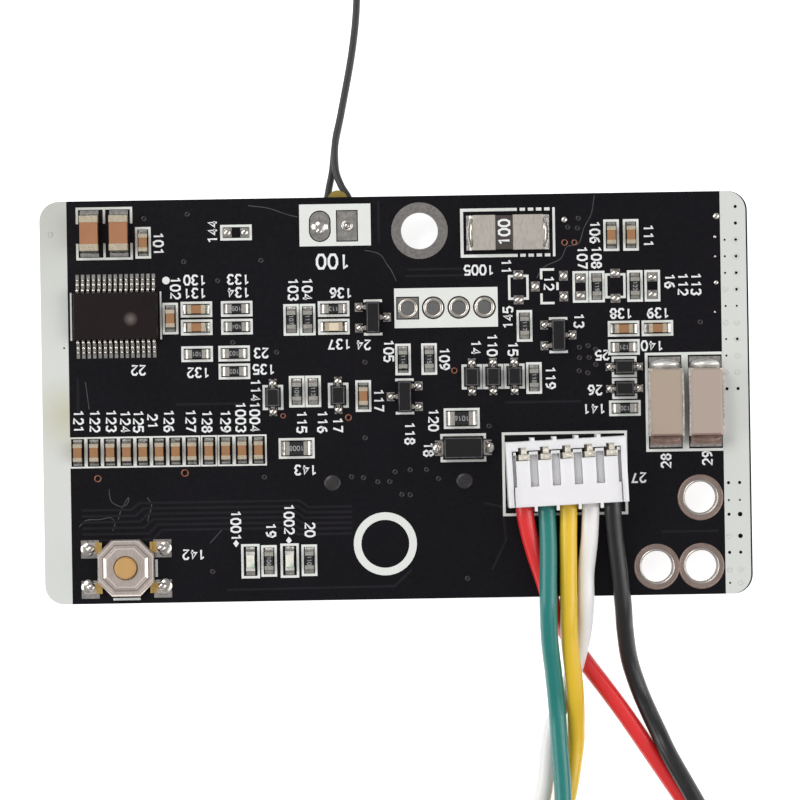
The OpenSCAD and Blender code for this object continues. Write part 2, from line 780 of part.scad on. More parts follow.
module connector_plug() {
    z0 = header_floor + plug_gap;
    cavity = contact_s + 2 * contact_clear;
    slot_w = pin_pitch - finger_w;
    color([0.95, 0.95, 0.96]) in_connector() difference() {
        union() {
            translate([-plug_w / 2, -header_d / 2, z0])
                cube([plug_w, header_d / 2 + plug_front_y, header_h - z0]);
            for (i = [0:3]) translate([pin_x(i + 0.5) - rib_w / 2, -header_d / 2 - rib_out, z0])
                cube([rib_w, rib_out + eps, header_h - z0]);
        }
        for (i = [0:4]) translate([pin_x(i), contact_rear_y, pin_z]) {
            // Round way in for the wire, square cavity for the contact
            rotate([90, 0, 0]) cylinder(d = wire_d + 0.2, h = header_d);
            translate([-cavity / 2, 0, -cavity / 2]) cube([cavity, header_d, cavity]);
        }
        // Window over the end of each contact
        for (i = [0:4]) translate([pin_x(i) - window_w / 2, plug_front_y - window_l, pin_z])
            cube([window_w, header_d, header_h]);
        // Slots between the fingers, and the half slots at both sides
        for (i = [-1:4]) translate([pin_x(i + 0.5) - slot_w / 2, slot_y[0], header_h - slot_depth])
            cube([slot_w, slot_y[1] - slot_y[0], header_h]);
    }
}

module crimp_contacts() {
    contact_l = plug_front_y - 0.3 - contact_rear_y;
    way = pin_s + 2 * contact_clear;
    color([0.78, 0.76, 0.72]) in_connector() for (i = [0:4])
        translate([pin_x(i), contact_rear_y, pin_z]) difference() {
            translate([-contact_s / 2, 0, -contact_s / 2]) cube([contact_s, contact_l, contact_s]);
            translate([-way / 2, -1, -way / 2]) cube([way, contact_l + 2, way]);
        }
}

// ---- back of the board ----

power_transistor_places = [
    [-21, -10.5, 0], [-11, -10.5, 0], [-1, -10.5, 0], [9, -10.5, 0], [16, 9, 0], [25, 9, 0]
];
tab_w = mosfet_w * 0.8;
tab_out = 1.1;
tab_t = 0.5;
mosfet_pitch = 4.6;
mosfet_reach = 2.6;
controller_place = [-22, 6, 0];
controller_pitch = 0.8;
balance_pitch = 3.5;
balance_places = [for (i = [0:3]) [-11.5 + i * balance_pitch, 4, 90]];
balance_h = 0.6;
balance_end = 0.6;

module power_transistors() {
    color([0.14, 0.13, 0.13]) for (p = power_transistor_places) on_back(p)
        moulded_body(mosfet_w, mosfet_l, mosfet_h, 0.1);
}

module power_transistor_tabs() {
    color([0.7, 0.69, 0.67]) for (p = power_transistor_places) on_back(p) {
        translate([-tab_w / 2, mosfet_l / 2, 0]) cube([tab_w, tab_out, tab_t]);
        for (x = [-0.5, 0.5]) translate([x * mosfet_pitch, -mosfet_l / 2, 0]) rotate([0, 0, -90])
            gull_lead(mosfet_reach, mosfet_reach / 2, mosfet_h * 0.4, 0.75, tab_t);
    }
}

module controller_chip() {
    color([0.13, 0.13, 0.14]) on_back(controller_place) translate([0, 0, 0.1])
        moulded_body(controller_s, controller_s, controller_h, 0.12);
}

module controller_chip_leads() {
    color([0.72, 0.72, 0.72]) on_back(controller_place) for (a = [0, 90, 180, 270], i = [0:7])
        rotate([0, 0, a]) translate([controller_s / 2, (i - 3.5) * controller_pitch, 0])
            gull_lead(1, 0.6, 0.1 + controller_h / 2 - 0.075, 0.35, 0.15);
}

module balance_resistors() {
    color([0.12, 0.12, 0.12]) for (p = balance_places) on_back(p)
        chip_middle(balance_l, balance_w, balance_h, balance_end);
}

module balance_resistor_ends() {
    color([0.68, 0.68, 0.68]) for (p = balance_places) on_back(p) {
        chip_ends(balance_l, balance_w, balance_h, balance_end);
        end_joints(balance_l, balance_w - 0.1, balance_h, 0.5, balance_end);
    }
}

// ---- printed ink ----

strip_x = across(layout_size[0] / 2 - strip_w);
fuse_box = [3.1, 9.1];
fuse_box_line = 0.25;
fuse_box_x = 22.9;
frame_gap = 0.03;
frame_side = 0.1;
block_margin = 0.1;
lamp_frame = [3.15, 1.7];
diode_frame = [2.3, 1.9];
diode_opening = 0.9;
transistor_frame = [1.7, 3.3];
transistor_opening = 2.8;
clamp_frame = [4.2, 2.6];
clamp_opening = 1.6;
filter_frame_l = 2.85;
filter_line = 0.15;
large_frame_place = [-26.55, 15.5];
large_frame = [5.2, 4.85];
large_opening = 1.8;
shunt_frame = [8.7, 4.5];
shunt_line = 0.28;
dash_gap = 0.25;
dash_pitch = 0.75;
monitor_mark_place = [-20.95, 11.1];
monitor_mark_d = 0.7;
connector_line = 0.25;
header_block = [9.5, 3.65];
sensor_block = [6.55, 3.85];
sensor_block_place = [-5.35, 15.95];
ring_mark_r = 2.9;
ring_mark_w = 0.7;

module chip_frame(l, w, out) {
    frame(l + 2 * (out + frame_gap + ink_line), w + 2 * (frame_side + ink_line));
}

// Outline left open where the leads cross it
module open_frame(l, w, opening) {
    difference() {
        frame(l, w);
        block(l + 1, opening, 1, -0.5);
    }
}

// Outline of an unfitted transistor, open round its three pads
module spare_transistor_mark() {
    l = transistor_frame[0];
    w = transistor_frame[1];
    difference() {
        frame(l, w);
        translate([-l / 2, 0, 0]) block(l, 1.3, 1, -0.5);
        for (y = [-1, 1]) translate([l / 2, y * (w / 4 + 0.25), 0]) block(0.8, w / 2 - 0.2, 1, -0.5);
    }
}

module end_strip(inset) {
    linear_extrude(ink_t) intersection() {
        board_outline();
        translate([-inset, 0]) board_outline();
        translate([strip_x, -board_w / 2]) square([strip_w + board_l, board_w]);
    }
}

module ink_print() {
    color([0.86, 0.87, 0.85]) {
        on_top([0, 0]) {
            mirror([1, 0, 0]) end_strip(0);
            end_strip(0.15);
        }
        for (p = concat(capacitor_places, resistor_places, spare_chip_places))
            on_top(p) chip_frame(chip_l, chip_w, chip_solder);
        for (p = mid_resistor_places) on_top(p) chip_frame(mid_l, mid_w, chip_solder);
        for (p = lamp_places) on_top(p) frame(lamp_frame[0], lamp_frame[1]);
        for (p = concat(diode_places, spare_diode_places))
            on_top(p) open_frame(diode_frame[0], diode_frame[1], diode_opening);
        for (p = transistor_places)
            on_top(p) open_frame(transistor_frame[0], transistor_frame[1], transistor_opening);
        on_top(spare_transistor_place) spare_transistor_mark();
        on_top(clamp_place) open_frame(clamp_frame[0], clamp_frame[1], clamp_opening);
        for (p = filter_places) on_top(p) frame(filter_frame_l, filter_pitch, filter_line);
        on_top(large_frame_place) difference() {
            union() {
                frame(large_frame[0], large_frame[1]);
                block(ink_line, large_frame[1], ink_t);
            }
            block(large_frame[0] + 1, large_opening, 1, -0.5);
        }
        on_top(monitor_place) both_ends() translate([monitor_l / 2 + 0.15, -monitor_w / 2, 0])
            cube([0.15, monitor_w, ink_t]);
        on_top(monitor_mark_place) cylinder(d = monitor_mark_d, h = ink_t);
        // Frame of the shunt, dashed along its right-hand part
        on_top(shunt_place) difference() {
            frame(shunt_frame[0], shunt_frame[1], shunt_line);
            for (i = [0:4]) translate([1 + i * dash_pitch, 0, 0])
                block(dash_gap, shunt_frame[1] + 1, 1, -0.5);
        }
        on_top([0, 0]) {
            // Box round the two fuses, open towards the end strip
            translate([0, up(fuse_y) - fuse_box[1] / 2, 0]) difference() {
                translate([across(fuse_box_x), 0, 0])
                    cube([strip_x - across(fuse_box_x), fuse_box[1], ink_t]);
                for (p = fuse_places) translate([across(p[0]) - fuse_box[0] / 2, fuse_box_line, -1])
                    cube([fuse_box[0], fuse_box[1] - 2 * fuse_box_line, 2]);
            }
            translate([across(ring_mark_place[0]), up(ring_mark_place[1]), 0]) difference() {
                cylinder(r = ring_mark_r, h = ink_t);
                translate([0, 0, -1]) cylinder(r = ring_mark_r - ring_mark_w, h = 2);
            }
        }
        on_top(switch_place) {
            translate([-1.25, -switch_s / 2 - 0.4, 0]) cube([2.5, ink_line, ink_t]);
            translate([switch_s / 2 + 0.05, -0.9, 0]) cube([ink_line, 1.6, ink_t]);
        }
        on_top(connector_place) translate([-0.05, -0.2, 0])
            frame(header_w + 0.6, header_d + 1.75, connector_line);
        difference() {
            on_top([header_place[0] + 1.5 * header_pitch, header_place[1]])
                block(header_block[0], header_block[1], ink_t);
            for (i = [0:3]) on_top(header_places[i]) {
                translate([0, 0, -1]) cylinder(d = header_pad + 2 * block_margin, h = 2);
                if (i == 0) block(header_pad + 2 * block_margin, header_pad + 2 * block_margin, 2, -1);
            }
        }
        difference() {
            on_top(sensor_block_place) block(sensor_block[0], sensor_block[1], ink_t);
            on_top(sensor_places[0]) translate([0, 0, -1]) linear_extrude(2)
                oval(sensor_pad[0] + 2 * block_margin, sensor_pad[1] + 2 * block_margin);
            on_top(sensor_places[1])
                block(sensor_pad[0] + 2 * block_margin, sensor_pad[1] + 2 * block_margin, 2, -1);
        }
    }
}

// ---- leads ----

// Route of each lead, by hand: out of the plug, over the board's edge, across the others and along
// the surface to its coil
layer = 1.65;
wire_layers = [0.8, 0.8 + layer, 0.8 + 2 * layer];
red_route = [
    [11.5, -8.8, 6.4], [11.6, -10.7, 6.4], [12.15, -15.65, 4.95], [13.35, -18.95, 4.8],
    [14.3, -20.1, 3.9], [15.25, -21.2, 2.3], [16.2, -22.3, 1.1], [17.25, -23.8, 0.8],
    [20.7, -29.1, 0.8], [26.2, -37.9, 0.8], [28.1, -40.3, 0.8], [29.75, -41.85, 0.8]
];
teal_route = [
    [13.5, -8.7, 6.4], [13.6, -10.6, 6.4], [13.8, -13.7, 6.5], [13.9, -16.9, 6.55],
    [14, -19.5, 6.4], [14.05, -22.5, 5.4], [14.2, -25.6, 4], [14.45, -28.5, 2.9],
    [14.75, -31.5, 2.6], [15.25, -38.5, 2.7], [13.6, -42.4, 3.6], [9.6, -46.4, 4.1],
    [7.45, -50.6, 4.1]
];
yellow_route = [
    [15.5, -8.6, 6.4], [15.6, -10.5, 6.4], [15.7, -13.6, 6.2], [15.75, -19.7, 5.6],
    [15.75, -22.4, 4.75], [16, -25.2, 3.9], [16.25, -27.7, 2.9], [16.3, -30.4, 1.5],
    [16.05, -33.1, 0.8], [14.9, -38.5, 0.8], [12.7, -42.4, 1.9], [9.2, -46.4, 2.45],
    [7.45, -50.6, 2.45]
];
white_route = [
    [17.5, -8.5, 6.4], [17.6, -10.4, 6.4], [17.5, -13.3, 5.9], [17.25, -16.3, 5.1],
    [17.2, -18.9, 4.8], [17.1, -21.4, 3.8], [16.75, -23.5, 2.75], [16.1, -25.8, 1.6],
    [15, -28.4, 0.9], [13.8, -31.3, 0.8], [12.6, -38.3, 0.8], [8.4, -46.4, 0.8],
    [7.45, -50.6, 0.8]
];
black_route = [
    [19.5, -8.4, 6.4], [19.6, -10.3, 6.4], [20, -13.5, 5.8], [20.65, -18.9, 4.8],
    [21, -21.6, 3.4], [21.55, -24.5, 1.7], [22.4, -27.4, 0.9], [25.2, -32.9, 1.5],
    [26.7, -36.2, 2.2], [28.1, -39.5, 2.45], [29.75, -41.85, 2.45]
];
sensor_left_route = [
    [-6.6, 16.6, 1.9], [-6.1, 18.3, 1.9], [-5.85, 19.65, 1.2], [-5.55, 21.2, 0.45],
    [-5.25, 23.7, 0.35], [-4.65, 26.5, 0.35], [-3.55, 32.2, 0.35], [-3.05, 37, 0.35],
    [-3.1, 43, 0.35]
];
sensor_right_route = [
    [-4.3, 16.6, 1.9], [-4.05, 18.3, 1.9], [-4.75, 19.65, 1.7], [-5.25, 21.2, 1.25],
    [-5.25, 23.7, 1.08], [-4.65, 26.5, 1.08], [-3.55, 32.2, 1.08], [-3.05, 37, 1.08],
    [-3.1, 43, 1.08]
];
left_coil_place = [-4, -50.6];
right_coil_place = [22.4, -50.6];
sensor_coil_place = [-8.4, 43];
wire_turns = 2;
sensor_turns = 2.5;
glue_place = [-5.1, 18.25];
glue_d = 1.9;
glue_h = 0.9;
sensor_layers = [0.35, 1.08];
bead_d = 1.6;
bead_l = 3.2;
bead_tail_d = 1.2;
bead_place = [-8.4, 41.8];

function unit(v) = v / norm(v);
function heading(p, i) =
    i == 0 ? unit(p[1] - p[0]) :
    i == len(p) - 1 ? unit(p[i] - p[i - 1]) :
    unit(unit(p[i + 1] - p[i]) + unit(p[i] - p[i - 1]));
function ring_points(p, i, d, sides) =
    let (t = heading(p, i), side = unit(cross(t, [0, 0, 1])), up = cross(side, t))
    [for (k = [0:sides - 1]) let (a = k * 360 / sides) p[i] + d / 2 * (cos(a) * side + sin(a) * up)];

// Round lead along a route, with a flat face at both ends
module lead(route, d, sides = 8) {
    n = len(route);
    points = [for (i = [0:n - 1]) each ring_points(route, i, d, sides)];
    walls = [for (i = [0:n - 2], k = [0:sides - 1])
        let (a = i * sides + k, b = i * sides + (k + 1) % sides)
        each [[a, b, b + sides], [a, b + sides, a + sides]]];
    caps = [[for (k = [sides - 1:-1:0]) k], [for (k = [0:sides - 1]) (n - 1) * sides + k]];
    polyhedron(points, concat(walls, caps));
}

// Leads and coils keep their place beside the connector or the sensor pads
module beside(place) {
    translate([across(place[0]) - place[0], up(place[1]) - place[1], 0]) children();
}
module wire(route) {
    beside(connector_place) lead(route, wire_d);
}
module sensor_lead(route) {
    beside(sensor_place) lead(route, sensor_d);
}

// Space of a flat coil whose turns lie side by side, at height z of their middle
module coil_space(p, r, turns, d, z) {
    translate([p[0], p[1], z - d / 2]) difference() {
        cylinder(r = r + d / 2, h = d);
        translate([0, 0, -1]) cylinder(r = r - turns * d - d / 2, h = d + 2);
    }
}

module wire_coil(p, z) {
    beside(connector_place) coil_space(p, wire_coil_r, wire_turns, wire_d, z);
}

module wire_red() { color([0.88, 0.2, 0.2]) wire(red_route); }
module wire_teal() { color([0.16, 0.53, 0.49]) wire(teal_route); }
module wire_yellow() { color([0.88, 0.75, 0.24]) wire(yellow_route); }
module wire_white() { color([0.92, 0.91, 0.9]) wire(white_route); }
module wire_black() { color([0.18, 0.18, 0.19]) wire(black_route); }
module coil_white() { color([0.92, 0.91, 0.9]) wire_coil(left_coil_place, wire_layers[0]); }
module coil_yellow() { color([0.88, 0.75, 0.24]) wire_coil(left_coil_place, wire_layers[1]); }
module coil_teal() { color([0.16, 0.53, 0.49]) wire_coil(left_coil_place, wire_layers[2]); }
module coil_red() { color([0.88, 0.2, 0.2]) wire_coil(right_coil_place, wire_layers[0]); }
module coil_black() { color([0.18, 0.18, 0.19]) wire_coil(right_coil_place, wire_layers[1]); }
module sensor_lead_left() { color([0.24, 0.24, 0.24]) sensor_lead(sensor_left_route); }
module sensor_lead_right() { color([0.24, 0.24, 0.24]) sensor_lead(sensor_right_route); }
module sensor_coil(z) {
    beside(sensor_place) coil_space(sensor_coil_place, sensor_coil_r, sensor_turns, sensor_d, z);
}
module sensor_coil_left() { color([0.24, 0.24, 0.24]) sensor_coil(sensor_layers[0]); }
module sensor_coil_right() { color([0.24, 0.24, 0.24]) sensor_coil(sensor_layers[1]); }

// Drop of epoxy with the sensing element inside it, lying in the middle of its coil
module sensor_bead() {
    r = bead_d / 2;
    color([0.12, 0.12, 0.12]) beside(sensor_place)
        translate([bead_place[0], bead_place[1], r]) rotate([0, 90, 0]) {
            translate([0, 0, -bead_l / 2]) cylinder(d1 = bead_tail_d, d2 = bead_d, h = r);
            translate([0, 0, -bead_l / 2 + r]) cylinder(d = bead_d, h = bead_l - 2 * r);
            translate([0, 0, bead_l / 2 - r]) intersection() {
                sphere(r);
                cylinder(r = 2 * r, h = 2 * r);
            }
        }
}

module lead_glue() {
    color([0.55, 0.48, 0.24]) on_back(glue_place) mound(glue_d, glue_h);
}

circuit_board();
ink_print();
mounting_ring();
power_rings();
header_rings();
sensor_pads();
spare_pads();
solder_joints();
monitor_chip();
monitor_chip_leads();
large_capacitors();
large_capacitor_ends();
small_capacitors();
small_capacitor_ends();
chip_resistors();
chip_resistor_ends();
shunt_element();
shunt_terminals();
fuse_bodies();
fuse_caps();
small_diodes();
small_diode_leads();
transistors();
transistor_leads();
clamp_diode();
clamp_diode_leads();
indicator_lamps();
indicator_lamp_ends();
switch_base();
switch_cover();
switch_button();
switch_dome();
switch_terminals();
connector_header();
connector_pins();
connector_plug();
crimp_contacts();
power_transistors();
power_transistor_tabs();
controller_chip();
controller_chip_leads();
balance_resistors();
balance_resistor_ends();
lead_glue();
sensor_bead();
wire_red();
wire_teal();
wire_yellow();
wire_white();
wire_black();
coil_red();
coil_teal();
coil_yellow();
coil_white();
coil_black();
sensor_lead_left();
sensor_lead_right();
sensor_coil_left();
sensor_coil_right();
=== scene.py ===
# %% [markdown]
# # A battery management board
# The real object is a small black circuit board that looks after a lithium battery pack. Its parts
# come from the construction model, already in place and in metres. This lesson gives them their
# finishes, draws the printed ink and the numbers, lays the wires, and sets up camera and light.

# %% Load the construction model
import math

import bpy
import numpy as np
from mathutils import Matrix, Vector


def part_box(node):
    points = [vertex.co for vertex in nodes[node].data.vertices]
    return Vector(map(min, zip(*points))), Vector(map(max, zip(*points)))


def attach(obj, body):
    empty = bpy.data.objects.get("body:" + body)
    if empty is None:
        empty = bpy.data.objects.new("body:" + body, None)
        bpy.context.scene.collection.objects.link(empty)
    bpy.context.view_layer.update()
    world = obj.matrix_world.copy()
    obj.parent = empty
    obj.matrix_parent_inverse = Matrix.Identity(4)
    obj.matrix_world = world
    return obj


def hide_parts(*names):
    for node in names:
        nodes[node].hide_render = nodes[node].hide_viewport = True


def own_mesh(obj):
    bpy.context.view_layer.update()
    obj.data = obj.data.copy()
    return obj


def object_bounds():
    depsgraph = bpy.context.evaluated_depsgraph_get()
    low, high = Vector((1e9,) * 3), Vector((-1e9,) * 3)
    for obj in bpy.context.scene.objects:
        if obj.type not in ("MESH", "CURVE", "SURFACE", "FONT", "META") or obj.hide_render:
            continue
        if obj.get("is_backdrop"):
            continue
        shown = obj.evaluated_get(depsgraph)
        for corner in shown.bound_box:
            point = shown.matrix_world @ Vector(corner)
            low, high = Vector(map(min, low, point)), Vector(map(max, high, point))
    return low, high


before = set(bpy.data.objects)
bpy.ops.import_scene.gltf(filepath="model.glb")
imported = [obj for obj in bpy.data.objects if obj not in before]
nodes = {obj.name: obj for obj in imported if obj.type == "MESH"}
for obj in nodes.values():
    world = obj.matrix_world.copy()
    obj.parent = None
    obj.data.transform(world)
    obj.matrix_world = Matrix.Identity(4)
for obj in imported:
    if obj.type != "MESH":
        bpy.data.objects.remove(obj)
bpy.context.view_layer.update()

MM = 0.001
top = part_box("circuit_board")[1][2]
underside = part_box("circuit_board")[0][2]
print("nodes", len(nodes), "board top", round(top / MM, 3), "mm")

# %% [markdown]
# ## Camera
# A long lens straight above the board keeps its edges square and hides the sides of the taller
# parts. A camera without perspective would do that too, but wires that stand high would lose the
# slight lean that shows their height. The camera stands 400 mm over the board, and is turned by just
# under one degree, because the board lies slightly askew in its view.

# %% Camera
def add(name, data):
    """A new object in the scene, for a camera, a lamp, a mesh or a curve."""
    piece = bpy.data.objects.new(name, data)
    bpy.context.collection.objects.link(piece)
    return piece


camera_height, camera_turn = 400, -0.93
camera_x, camera_y = 0.36, -0.22
camera_data = bpy.data.cameras.new("camera")
camera_data.sensor_width = 36
camera_data.lens = 196
camera_data.clip_start = 0.01
camera = add("camera", camera_data)
camera.location = (camera_x * MM, camera_y * MM, top + camera_height * MM)
camera.rotation_euler = (0, 0, math.radians(camera_turn))
bpy.context.scene.camera = camera
bpy.context.scene.view_settings.view_transform = "Standard"
print("camera", tuple(round(v, 4) for v in camera.location))

# %% [markdown]
# ## Mesh helpers
# Apart from the wires and the table, every new piece is a surface on a grid of two parameters,
# worked out with numpy arrays. Blender's own cubes and cylinders could be added and edited instead,
# but an array shows the formula of the shape and gives the same points each time. One helper turns
# the arrays into a mesh and says which body carries it and which finish it takes.

# %% Mesh helpers
def as_object(name, vertices, faces, material=None, slot=None, body="board", smooth=False):
    """A mesh object from an array of points in metres and a list or array of faces."""
    mesh = bpy.data.meshes.new(name)
    mesh.from_pydata(np.asarray(vertices, float).tolist(), [], [list(map(int, f)) for f in faces])
    mesh.validate()
    mesh.polygons.foreach_set("use_smooth", [smooth] * len(mesh.polygons))
    piece = add(name, mesh)
    if material:
        mesh.materials.append(material)
    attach(piece, body)
    return piece


def grid_quads(rows, columns):
    """Faces of a grid whose columns close on themselves: each joins a point, the next point of its
    ring, and the two above them."""
    row, column = np.meshgrid(np.arange(rows - 1), np.arange(columns), indexing="ij")
    here = row * columns + column
    beside = row * columns + (column + 1) % columns
    return np.stack([here, beside, beside + columns, here + columns], axis=-1).reshape(-1, 4)


def join_parts(parts):
    """One list of points and one of faces from several, each face's numbers moved up by the points
    that come before it."""
    points, faces, start = [], [], 0
    for part_points, part_faces in parts:
        points.append(np.asarray(part_points, float))
        faces.extend([[int(i) + start for i in face] for face in part_faces])
        start += len(part_points)
    return np.concatenate(points), faces


def as_one(name, parts, **settings):
    """One object from several parts, with the same settings as as_object."""
    return as_object(name, *join_parts(parts), **settings)


print("a grid of 3 rows and 4 columns has", len(grid_quads(3, 4)), "faces")

# %% [markdown]
# ## Wires
# Five soft plastic-covered wires leave the plug, drop over the edge of the board and cross each
# other on the table. The far length of each is wound into a neat coil. A curve with a round bevel
# makes such a wire: the centre line is a smooth curve through a few route points, then a spiral. A
# simulation could lay the wires as well, but it would have to be told the same crossings anyway.

# %% Centre lines
def smooth_route(points, steps=12):
    """A curve through every point: between two neighbours the place is a cubic in t whose slopes at
    the ends are half the distance between the points on either side."""
    p = np.asarray(points, float)
    p = np.vstack([2 * p[0] - p[1], p, 2 * p[-1] - p[-2]])
    t = np.linspace(0, 1, steps, endpoint=False)[None, :, None]
    a, b, c, d = (p[i:len(p) - 3 + i, None, :] for i in range(4))
    curve = 0.5 * (2 * b + (c - a) * t + (2 * a - 5 * b + 4 * c - d) * t**2
                   + (3 * b - a - 3 * c + d) * t**3)
    return np.vstack([curve.reshape(-1, 3), p[-2]])


def spiral(centre, start, settle, pitch, turns, way, z, steps=48, fade=0.6):
    """Turns that lie beside each other: the radius is the outer turn's, less one pitch for each
    turn, plus what is left of the wider entry, which dies away over the first part of a turn,
    called fade and given in radians."""
    angle = np.linspace(0, turns * 2 * math.pi, max(4, int(turns * steps)))
    first = math.atan2(start[1] - centre[1], start[0] - centre[0])
    entry = math.hypot(start[0] - centre[0], start[1] - centre[1])
    radius = settle - pitch * angle / (2 * math.pi) + (entry - settle) * np.exp(-angle / fade)
    turned = first + way * angle
    return np.stack([centre[0] + radius * np.cos(turned), centre[1] + radius * np.sin(turned),
                     np.full_like(angle, z)], axis=-1)


def line_length(points):
    """The sum of the distances between neighbours."""
    return float(np.linalg.norm(np.diff(points, axis=0), axis=1).sum())


print("a straight route of 3 mm measures", line_length(smooth_route([[0, 0, 0], [1, 0, 0], [3, 0, 0]])), "mm")

# %% Routes of the wires, in millimetres
wire_d, sensor_d = 1.6, 0.65
layer_pitch = 1.65
wire_layers = [wire_d / 2 + layer_pitch * layer for layer in range(3)]
wire_routes = {
    "red": [
        [11.5, -8.8, 6.4], [11.6, -10.7, 6.4], [12, -12.75, 5.95], [12.57, -14.8, 5.35],
        [13.22, -16.8, 4.95], [13.69, -18.3, 4.8], [14.45, -20.1, 4], [15.1, -21.4, 2.4],
        [15.75, -22.6, 1.15], [16.4, -23.7, 0.85], [17.3, -24.95, 0.8], [20.5, -29.35, 0.8],
        [26.2, -37.9, 0.8], [28.1, -40.3, 0.8], [29.75, -41.85, 0.8]],
    "teal": [
        [13.5, -8.7, 6.4], [13.6, -10.6, 6.4], [13.68, -13.7, 6.5], [13.62, -16.9, 6.6],
        [13.6, -19.5, 6.45], [13.7, -22.5, 5.4], [14.05, -25.6, 4], [14.32, -28.5, 2.9],
        [14.5, -31.5, 2.6], [14.75, -38.5, 2.7], [13.4, -42.4, 3.6], [9.6, -46.4, 4.1],
        [7.45, -50.6, 4.1]],
    "yellow": [
        [15.5, -8.6, 6.4], [15.58, -10.5, 6.4], [15.52, -13.6, 6.2], [15.48, -19.7, 5.6],
        [15.55, -22.4, 4.75], [15.82, -25.2, 3.9], [16.07, -27.7, 2.9], [16.15, -30.4, 1.5],
        [16, -33.1, 0.8], [14.9, -38.5, 0.8], [12.7, -42.4, 1.9], [9.2, -46.4, 2.45],
        [7.45, -50.6, 2.45]],
    "white": [
        [17.5, -8.5, 6.4], [17.6, -10.4, 6.4], [17.45, -13.3, 5.9], [17.12, -16.3, 5.1],
        [17.08, -18.9, 4.8], [16.9, -21.4, 3.8], [16.5, -23.5, 2.75], [15.9, -25.8, 1.6],
        [15, -28.4, 0.9], [13.8, -31.3, 0.8], [12.6, -38.3, 0.8], [8.4, -46.4, 0.8],
        [7.45, -50.6, 0.8]],
    "black": [
        [19.5, -8.4, 6.4], [19.6, -10.3, 6.4], [19.86, -13.5, 5.8], [20.47, -18.9, 4.8],
        [20.7, -21.6, 3.4], [21.15, -24.5, 1.7], [22, -27.2, 0.95], [22.85, -29.3, 1.05],
        [23.75, -31.3, 1.35], [24.65, -33.3, 1.9], [26.4, -36.5, 2.35], [28.1, -39.5, 2.45],
        [29.75, -41.85, 2.45]],
}
sensor_routes = {
    "left": [
        [-6.6, 16.6, 1.9], [-6.1, 18.3, 1.9], [-5.85, 19.65, 1.2], [-5.55, 21.2, 0.45],
        [-5.25, 23.7, 0.35], [-4.65, 26.5, 0.35], [-3.55, 32.2, 0.35], [-3.05, 37, 0.35],
        [-3.1, 43, 0.35]],
    "right": [
        [-4.3, 16.6, 1.9], [-4.05, 18.3, 1.9], [-4.75, 19.65, 1.7], [-5.25, 21.2, 1.25],
        [-5.25, 23.7, 1.08], [-4.65, 26.5, 1.08], [-3.55, 32.2, 1.08], [-3.05, 37, 1.08],
        [-3.1, 43, 1.08]],
}
left_coil, right_coil, sensor_coil = (-4, -50.6), (22.4, -50.6), (-8.4, 43)
wire_ends = {"red": (right_coil, 0), "black": (right_coil, 1), "white": (left_coil, 0),
             "yellow": (left_coil, 1), "teal": (left_coil, 2)}
for name, route in wire_routes.items():
    print(name, "route", round(line_length(smooth_route(route)), 1), "mm")

# %% [markdown]
# ## Finishes
# A finish is a small network of shader nodes: a base colour, a slow variation of it, a fine grain
# that also raises the surface, and a roughness. An image could hold such a pattern, but a noise has
# no seams and can have any size. The patterns read Object coordinates, so they stay on the part when
# it moves. Metals and plastics differ only in a few of these numbers.

# %% A finish from a few numbers
def set_inputs(node, values):
    """Give the named sockets of a node their plain values."""
    for socket, value in values.items():
        node.inputs[socket].default_value = value


def finish(name, colour, roughness=0.5, metallic=0.0, mottle=0.12, mottle_mm=2.0, grain=0.1,
           grain_mm=0.15, spread=0.08, specular=0.5, coat=0.0, stretch=(1, 1, 1), dark=0.6):
    """A material whose colour wanders between the given one and a darker one, and whose roughness
    and height follow a finer noise. Lengths are in millimetres, and stretch pulls the grain out
    along an axis."""
    material = bpy.data.materials.new(name)
    material.use_nodes = True
    tree = material.node_tree
    shader = tree.nodes["Principled BSDF"]
    set_inputs(shader, {"Metallic": metallic, "Specular IOR Level": specular, "Coat Weight": coat,
                        "Coat Roughness": 0.15})
    place = tree.nodes.new("ShaderNodeTexCoord")
    stretcher = tree.nodes.new("ShaderNodeMapping")
    set_inputs(stretcher, {"Scale": stretch})
    tree.links.new(place.outputs["Object"], stretcher.inputs["Vector"])

    def noise(size_mm, detail):
        node = tree.nodes.new("ShaderNodeTexNoise")
        set_inputs(node, {"Scale": 1 / (size_mm * MM), "Detail": detail})
        tree.links.new(stretcher.outputs["Vector"], node.inputs["Vector"])
        return node.outputs["Fac"]

    def spread_out(noise_value, low, high, to_low, to_high):
        node = tree.nodes.new("ShaderNodeMapRange")
        set_inputs(node, {"From Min": low, "From Max": high, "To Min": to_low, "To Max": to_high})
        tree.links.new(noise_value, node.inputs["Value"])
        return node.outputs["Result"]

    slow, fine = noise(mottle_mm, 3), noise(grain_mm, 4)
    mix = tree.nodes.new("ShaderNodeMix")
    mix.data_type = "RGBA"
    mix.inputs[6].default_value = (*colour, 1)
    mix.inputs[7].default_value = (*[c * dark for c in colour], 1)
    tree.links.new(spread_out(slow, 0.35, 0.75, 0, mottle), mix.inputs["Factor"])
    tree.links.new(mix.outputs[2], shader.inputs["Base Color"])
    rough = spread_out(fine, 0.3, 0.7, max(0.02, roughness - spread), min(1, roughness + spread))
    tree.links.new(rough, shader.inputs["Roughness"])
    bump = tree.nodes.new("ShaderNodeBump")
    set_inputs(bump, {"Strength": grain, "Distance": 0.02 * MM})
    tree.links.new(fine, bump.inputs["Height"])
    tree.links.new(bump.outputs["Normal"], shader.inputs["Normal"])
    return material


def srgb(red, green, blue):
    """Linear light from screen values of 0 to 255: a power of 2.4 above a short straight part."""
    v = np.array([red, green, blue]) / 255
    return tuple(np.where(v <= 0.04045, v / 12.92, ((v + 0.055) / 1.055) ** 2.4).tolist())


print("a middle grey of 188 is", round(srgb(188, 188, 188)[0], 2), "in linear light")

